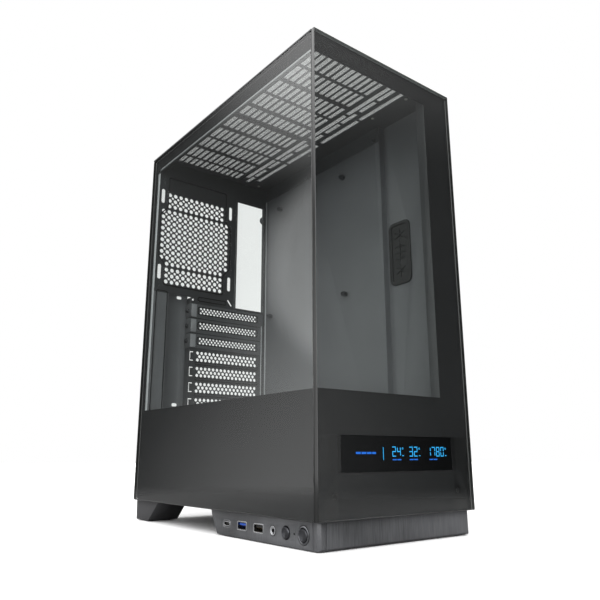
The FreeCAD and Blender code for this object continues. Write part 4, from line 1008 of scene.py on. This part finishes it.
@dataclass
class Grommet:
    """The rubber grommet in the tray, with its rolled rim and slit membrane."""

    y: float = -103.3
    z: float = 297.8
    width: float = 32.0
    height: float = 75.0
    corner: float = 7.0
    rim: float = 4.0
    slit: float = 0.45

    def outline(self, form: Form, inset: float) -> list:
        """Draw the grommet's outline, drawn in by an inset."""
        wide, high = self.width / 2 - inset, self.height / 2 - inset
        return form.loop(rectangle(self.y - wide, self.y + wide, self.z - high, self.z + high),
                         self.corner - inset)

    def star(self, form: Form, z: float) -> list:
        """Draw a slit with six rays about a point."""
        corners = []
        for ray in range(6):
            for turn, reach in ((0.0, 7.6), (0.5, 0.9)):
                angle = math.tau * (ray + turn) / 6 + math.pi / 6
                side = self.slit if reach > 1 else 0.0
                along, across = Vector((math.cos(angle), math.sin(angle))), Vector((-math.sin(angle),
                                                                                  math.cos(angle)))
                spots = [along * reach - across * side, along * reach + across * side] if side else [along * reach]
                corners += [(self.y + spot.x, z + spot.y) for spot in spots]
        return form.loop(corners)

    def build(self, shop: Workshop) -> None:
        """Make the lips, the groove and the membrane."""
        form = Form()
        form.sheet(Plane.SIDE, 89.0, -1.6, self.outline(form, 0.0), [self.outline(form, self.rim)], 0.7)
        form.sheet(Plane.SIDE, 89.8, 1.6, self.outline(form, 0.0), [self.outline(form, self.rim)], 0.7)
        form.sheet(Plane.SIDE, 89.0, 0.8, self.outline(form, 2.1), [self.outline(form, self.rim)])
        slits = [self.star(form, self.z + side * 21.0) for side in (-1, 1)]
        slits.append(form.loop(rectangle(self.y - self.slit, self.y + self.slit, self.z - 11.0, self.z + 11.0)))
        for z in (self.z - 7.0, self.z, self.z + 7.0):
            for u0, u1 in ((self.y - 7.5, self.y - 1.4), (self.y + 1.4, self.y + 7.5)):
                slits.append(form.loop(rectangle(u0, u1, z - self.slit, z + self.slit)))
        form.sheet(Plane.SIDE, 89.7, -0.7, self.outline(form, self.rim), slits)
        shop.hang("cable_grommet_rubber", form, "chassis", "black_rubber", ("cable_grommet",))


@dataclass
class Fasteners:
    """Screws and standoffs with their heads, recesses and bores."""

    standoffs: tuple = ((-18.0, 138.1), (139.5, 138.1), (-18.0, 265.1), (139.5, 265.1), (-18.0, 420.0),
                        (116.6, 420.0))
    tray: tuple = ((58.5, 448.2), (-75.5, 448.2))
    pocket: tuple = ((-79.6, 136.7), (-79.6, 267.7))
    thumb: tuple = ((88.2, 62.7), (88.2, 421.7))
    thumb_radius: float = 6.0
    knurls: int = 36

    def pillars(self, shop: Workshop) -> None:
        """Make the hexagonal standoffs."""
        form = Form()
        for y, z in self.standoffs:
            form.sheet(Plane.SIDE, 81.0, -5.6, form.circle(y, z, 3.175, 6), [form.circle(y, z, 1.45, 16)])
            form.sheet(Plane.SIDE, 75.4, -0.75, form.circle(y, z, 2.7, 18), [form.circle(y, z, 1.45, 16)], 0.3)
        shop.hang("hexagonal_standoffs", form, "chassis", "black_screw", ("motherboard_standoffs",))

    def small_screws(self, shop: Workshop) -> None:
        """Make the screws with cross recesses."""
        tray = Form()
        for y, z in self.tray:
            tray.turn(Plane.SIDE, y, z, [(80.2, 0.0), (80.2, 1.5), (82.6, 1.5), (83.2, 0.9), (83.2, 0.0)], 16)
            tray.screw_head(Plane.SIDE, y, z, 80.2, -1.8, 2.8)
        shop.hang("tray_pan_screws", tray, "chassis", "black_screw", ("tray_screws",))
        slots = Form()
        for z in SLOT_HEIGHTS[:COVERS]:
            slots.turn(Plane.SIDE, 161.3, z, [(-39.6, 0.0), (-39.6, 1.5), (-36.9, 1.5), (-36.4, 1.0), (-36.4, 0.0)], 16)
            slots.screw_head(Plane.SIDE, 161.3, z, -39.6, -2.4, 3.2)
        shop.hang("slot_pan_screws", slots, "chassis", "black_screw", ("slot_cover_screws",))
        pocket = Form()
        for x, z in self.pocket:
            pocket.turn(Plane.REAR, x, z, [(156.1, 0.0), (156.1, 1.5), (155.3, 1.5), (155.3, 0.0)], 16)
            pocket.screw_head(Plane.REAR, x, z, 156.1, 1.8, 2.8)
        shop.hang("pocket_pan_screws", pocket, "chassis", "black_screw", ("slot_screw_cover_screws",))

    def thumbscrews(self, shop: Workshop) -> None:
        """Make the knurled thumbscrews of the right cover."""
        form = Form()
        radius = self.thumb_radius
        for x, z in self.thumb:
            form.turn(Plane.REAR, x, z, [(160.7, 0.0), (160.7, 1.3), (161.4, 1.8), (168.5, 1.8), (168.5, 0.0)], 16)
            made = form.turn(Plane.REAR, x, z, [
                (168.5, 0.0), (168.5, 4.4), (169.8, 4.6), (170.2, radius - 0.5), (170.7, radius), (174.7, radius),
                (175.4, radius - 0.7), (175.4, 3.4), (174.8, 3.0), (174.8, 0.0)], 2 * self.knurls)
            ridges = [vert for vert in made if abs((vert.co.xz - Vector((x, z))).length - radius) < 0.02]
            for vert in ridges:
                angle = math.atan2(vert.co.z - z, vert.co.x - x)
                if round(angle / (math.pi / self.knurls)) % 2:
                    vert.co.x += (x - vert.co.x) * 0.05
                    vert.co.z += (z - vert.co.z) * 0.05
            form.screw_head(Plane.REAR, x, z, 174.8, 1.2, 2.9)
        shop.hang("knurled_thumbscrews", form, "right_cover", "black_screw", ("cover_thumbscrews",))

    def build(self, shop: Workshop) -> None:
        """Make every fastener."""
        self.pillars(shop)
        self.small_screws(shop)
        self.thumbscrews(shop)


@dataclass
class Ports:
    """The sockets and buttons on the left of the base."""

    face: float = -92.3
    power_y: float = -152.5
    reset_y: float = -129.2
    audio_y: float = -110.5
    usb: tuple = (("usb3", -62.6, "blue_plastic"), ("usb2", -89.1, "socket_black"))
    usb_c_y: float = -36.6

    def buttons(self, shop: Workshop) -> None:
        """Make the two spun buttons and the bright ring."""
        for name, body, y, radius, finish in (
                ("power_button", "power_push", self.power_y, 5.4, POWER_METAL),
                ("reset_button", "reset_push", self.reset_y, 5.1, RESET_METAL)):
            form = Form()
            form.turn(Plane.SIDE, y, Z_PORT, [
                (-93.15, 0.0), (-93.2, radius - 2.6), (-93.4, radius - 1.7), (-93.68, radius - 1.2),
                (-93.6, radius - 0.6), (-93.1, radius - 0.15), (-92.5, radius), (-89.5, radius), (-89.5, radius + 1.0),
                (-88.3, radius + 1.0), (-88.3, 1.5), (-83.6, 1.5), (-83.6, 0.0)], 64)
            shop.hang(name + "_cap", form, body, "button_metal", (name,), (finish,))
        ring = Form()
        ring.turn(Plane.SIDE, self.power_y, Z_PORT, [
            (-92.75, 5.75), (-92.9, 5.95), (-92.9, 7.0), (-92.75, 7.35), (-92.3, 7.5), (-89.8, 7.5), (-89.8, 5.7),
            (-92.5, 5.7), (-92.75, 5.75)], 64)
        shop.hang("power_button_bezel", ring, "chassis", "ring_metal", ("power_button_ring",))

    def wide_sockets(self, shop: Workshop) -> None:
        """Make the two wide sockets with their shells, tongues and contacts."""
        for name, y, slot in self.usb:
            shell = Form()
            outer = shell.loop(rectangle(y - 7.25, y + 7.25, 8.0, 15.0), 0.9)
            inner = shell.loop(rectangle(y - 6.65, y + 6.65, 8.6, 14.4), 0.5)
            shell.sheet(Plane.SIDE, -92.1, 13.4, outer, [inner])
            shell.sheet(Plane.SIDE, -78.7, 0.6, shell.loop(rectangle(y - 7.25, y + 7.25, 8.0, 15.0), 0.9))
            shop.hang(name + "_tube", shell, "chassis", "bare_steel", (name + "_shell",))
            insert = Form()
            insert.box((-80.7, y - 6.6, 8.7), (-78.75, y + 6.6, 14.35), 0.2)
            insert.box((-91.1, y - 5.6, 11.8), (-80.7, y + 5.6, 13.7), 0.25)
            plastic = set(insert.work.faces)
            for offset in (-3.9, -1.3, 1.3, 3.9):
                insert.box((-90.6, y + offset - 0.6, 11.62), (-81.0, y + offset + 0.6, 11.82))
            for face in insert.work.faces:
                face.material_index = 0 if face in plastic else 1
            shop.hang(name + "_tongue", insert, "chassis", slot, (name + "_insert",), (SLOT_FINISHES[slot], GOLD))

    def small_sockets(self, shop: Workshop) -> None:
        """Make the oval socket and the audio jack."""
        y = self.usb_c_y
        shell = Form()
        outer = shell.loop(rectangle(y - 4.6, y + 4.6, 9.8, 13.2), 1.6)
        inner = shell.loop(rectangle(y - 4.2, y + 4.2, 10.2, 12.8), 1.25)
        shell.sheet(Plane.SIDE, -92.1, 8.0, outer, [inner])
        for side in (-1, 1):
            edge = y + side * 2.9
            shell.box((-89.3, edge - 0.4, 8.0), (-84.1, edge + 0.4, 10.0))
        shop.hang("usb_c_tube", shell, "chassis", "bare_steel", ("usb_c_shell",))
        insert = Form()
        insert.sheet(Plane.SIDE, -86.1, 2.0, insert.loop(rectangle(y - 4.15, y + 4.15, 10.25, 12.75), 1.2))
        insert.box((-91.1, y - 3.2, 11.15), (-86.1, y + 3.2, 11.85), 0.12)
        shop.hang("usb_c_tongue", insert, "chassis", "socket_black", ("usb_c_insert",))
        jack = Form()
        y = self.audio_y
        jack.turn(Plane.SIDE, y, Z_PORT, [
            (-92.0, 1.8), (-92.2, 2.4), (-92.45, 2.8), (-92.5, 3.9), (-92.3, 4.4), (-89.5, 4.4), (-89.5, 1.8),
            (-92.0, 1.8)], 48)
        jack.sheet(Plane.SIDE, -89.5, 10.0, jack.loop(rectangle(y - 5.0, y + 5.0, 8.0, 15.0), 0.6),
                   [jack.circle(y, Z_PORT, 1.8, 24)])
        for face in jack.work.faces:
            middle = face.calc_center_median()
            near = Vector((middle.y - y, middle.z - Z_PORT)).length
            face.material_index = 1 if middle.x < -91.9 and near < 3.9 else 0
        shop.hang("audio_jack_body", jack, "chassis", "socket_black", ("audio_jack",), (SOCKET, SOCKET_LIP))

    def rims(self, shop: Workshop) -> None:
        """Make the plated rims that frame the sockets on the moulding's face."""
        form = Form()
        frames = [(y, 7.7, 4.1, 1.2, 0.9) for _, y, _ in self.usb]
        frames += [(self.usb_c_y, 6.6, 3.4, 2.8, 0.4), (self.usb_c_y, 5.1, 2.1, 2.0, 0.6)]
        for y, wide, high, corner, band in frames:
            outer = form.loop(rectangle(y - wide, y + wide, Z_PORT - high, Z_PORT + high), corner)
            inner = form.loop(rectangle(y - wide + band, y + wide - band, Z_PORT - high + band,
                                        Z_PORT + high - band), corner - band * 0.8)
            form.sheet(Plane.SIDE, self.face + 0.1, -0.25, outer, [inner], 0.08)
        shop.hang("socket_rims", form, "chassis", "bare_steel", finishes=(SOCKET_LIP,))

    def build(self, shop: Workshop) -> None:
        """Make the sockets and the buttons."""
        self.rims(shop)
        self.buttons(shop)
        self.wide_sockets(shop)
        self.small_sockets(shop)


@dataclass
class SoftEdges:
    """CAD pieces that keep their shape and get the small roundings of a real fold or moulding."""

    rows: tuple = (
        ("front_base", "front_base_moulding", "brushed_plastic", 0.35),
        ("rear_foot_left", "rear_foot_left_moulding", "black_plastic", 0.5),
        ("rear_foot_right", "rear_foot_right_moulding", "black_plastic", 0.5),
        ("motherboard_tray", "motherboard_tray_sheet", "black_steel", 0.25),
        ("front_frame", "front_frame_sheet", "black_steel", 0.25),
        ("slot_screw_cover", "slot_screw_cover_sheet", "black_steel", 0.25),
        ("display_housing", "display_housing_moulding", "black_plastic", 0.4),
    )
    # The tray and the slot screw cover take paler copies of the coat: painted light
    painted_light_coats: dict = field(default_factory=lambda: {"motherboard_tray": TRAY_COAT_LIT, "slot_screw_cover": PLATE_COAT_LIT})

    @staticmethod
    def mark_strip(form: Form) -> None:
        """Give the slanting front corners of the base their smooth finish."""
        form.work.normal_update()
        for face in form.work.faces:
            leaning = abs(face.normal.x) > 0.3 and face.normal.y < -0.3 and abs(face.normal.z) < 0.2
            if leaning and face.calc_center_median().y < -168.0:
                face.material_index = 1

    def build(self, shop: Workshop) -> None:
        """Round the edges of each piece, and of the right cover on its own body."""
        for node, name, slot, width in self.rows:
            form = Form.softened(node, width)
            if node == "front_base":
                self.mark_strip(form)
            finish = self.painted_light_coats.get(node, SLOT_FINISHES[slot])
            shop.hang(name, form, "chassis", slot, (node,), (finish, SMOOTH_STRIP))
        shop.hang("right_cover_sheet", Form.softened("right_side_panel", 0.25), "right_cover", "cover_steel",
                  ("right_side_panel",))


@dataclass(frozen=True)
class SoftLight:
    """A soft bright part of the surroundings.

    towards is its direction, start and full the cosines from it where the light begins and where it
    is full, and power its strength.
    """

    towards: tuple
    start: float
    full: float
    power: float


@dataclass
class Studio:
    """The pale floor, the white surroundings and the camera."""

    camera_place: tuple = (-0.41475, -0.56134, 0.07288)
    yaw: float = math.radians(38.0)
    pitch: float = math.radians(14.16)
    roll: float = 0.002
    lens: float = 37.04
    floor_size: float = 6.0
    floor_near: float = 0.35
    floor_far: float = 1.1
    dim: float = 0.07
    lights: tuple = (
        SoftLight((-0.864, 0.459, -0.208), 0.75, 0.96, 1.45),
        SoftLight((-0.676, 0.676, 0.292), 0.9815, 0.9900, 0.9),
        SoftLight((-0.542, 0.455, 0.707), 0.915, 0.998, 1.5),
        SoftLight((0.40, -0.91, 0.0), 0.88, 1.0, 0.5),
        SoftLight((0.0, 0.0, 1.0), 0.42, 0.95, 1.9),
        SoftLight((-0.65, -0.60, 0.46), 0.65, 0.95, 2.6),
        SoftLight((0.45, 0.83, 0.33), 0.72, 0.95, 1.2),
    )

    def camera(self) -> None:
        """Set the camera where the photograph was taken from."""
        data = bpy.data.cameras.new("photo_camera")
        data.lens = self.lens
        data.sensor_width = 36.0
        data.sensor_fit = "HORIZONTAL"
        data.clip_start = 0.01
        view = bpy.data.objects.new("photo_camera", data)
        turn = Matrix.Rotation(-self.yaw, 4, "Z") @ Matrix.Rotation(math.pi / 2 + self.pitch, 4, "X")
        view.matrix_world = Matrix.Translation(self.camera_place) @ turn @ Matrix.Rotation(-self.roll, 4, "Z")
        bpy.context.scene.collection.objects.link(view)
        bpy.context.scene.camera = view

    def floor(self) -> None:
        """Lay a pale floor that keeps the shadow and meets the white surroundings."""
        material, tree, output = new_tree("pale_floor")
        path = add_node(tree, "LightPath")
        colour = add_node(tree, "Mix", {6: hex_to_linear("#9a9a9a"), 7: hex_to_linear("#fdfdfd")},
                          {0: path.outputs["Is Camera Ray"]}, data_type="RGBA")
        shader = add_node(tree, "BsdfDiffuse", {}, {"Color": colour.outputs[2]})
        clear = add_node(tree, "BsdfTransparent")
        place = add_node(tree, "TexCoord")
        far = add_node(tree, "VectorMath", {}, {0: place.outputs["Object"]}, operation="LENGTH")
        fade = add_node(tree, "MapRange", {"From Min": self.floor_near, "From Max": self.floor_far},
                        {"Value": far.outputs["Value"]}, interpolation_type="SMOOTHSTEP")
        unseen = add_node(tree, "Math", {0: 1.0}, {1: path.outputs["Is Camera Ray"]}, operation="SUBTRACT")
        gone = add_node(tree, "Math", {}, {0: fade.outputs[0], 1: unseen.outputs[0]}, operation="MULTIPLY")
        mixed = add_node(tree, "MixShader", {}, {0: gone.outputs[0], 1: shader.outputs[0],
                                                 2: clear.outputs[0]})
        tree.links.new(mixed.outputs[0], output.inputs[0])
        work = bmesh.new()
        bmesh.ops.create_grid(work, x_segments=1, y_segments=1, size=self.floor_size)
        mesh = bpy.data.meshes.new("floor")
        work.to_mesh(mesh)
        work.free()
        mesh.materials.append(material)
        floor = bpy.data.objects.new("floor", mesh)
        bpy.context.scene.collection.objects.link(floor)

    def surroundings(self) -> None:
        """Make the world: white to the eye, and to the object dim with some soft bright parts."""
        world = bpy.data.worlds.new("studio")
        bpy.context.scene.world = world
        world.use_nodes = True
        tree = world.node_tree
        tree.nodes.clear()
        output = add_node(tree, "OutputWorld")
        place = add_node(tree, "TexCoord")
        power = add_node(tree, "Value").outputs[0]
        power.default_value = self.dim
        for light in self.lights:
            facing = add_node(tree, "VectorMath", {1: light.towards}, {0: place.outputs["Generated"]},
                              operation="DOT_PRODUCT")
            part = add_node(tree, "MapRange", {"From Min": light.start, "From Max": light.full,
                                               "To Max": light.power},
                            {"Value": facing.outputs["Value"]}, interpolation_type="SMOOTHSTEP")
            power = add_node(tree, "Math", {}, {0: power, 1: part.outputs[0]}, operation="ADD").outputs[0]
        path = add_node(tree, "LightPath")
        soft = add_node(tree, "Background", {"Color": (1, 1, 1, 1)}, {"Strength": power})
        plain = add_node(tree, "Background", {"Color": (1, 1, 1, 1), "Strength": 1.0})
        mixed = add_node(tree, "MixShader", {}, {0: path.outputs["Is Camera Ray"], 1: soft.outputs[0],
                                                 2: plain.outputs[0]})
        tree.links.new(mixed.outputs[0], output.inputs[0])

    def build(self) -> None:
        """Set up the whole studio."""
        bpy.context.scene.view_settings.view_transform = "Standard"
        self.camera()
        self.floor()
        self.surroundings()


def main() -> None:
    """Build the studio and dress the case."""
    logging.basicConfig(level=logging.INFO, format="%(name)s: %(message)s")
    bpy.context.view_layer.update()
    Studio().build()
    shop = Workshop()
    shop.dress_nodes()
    for assembly in (GlassPanels(), RearWall(), SlotCovers(), Roof(), Display(), Grommet(), Fasteners(), Ports(),
                     SoftEdges()):
        assembly.build(shop)
    bpy.context.view_layer.update()


if __name__ == "__main__":
    main()
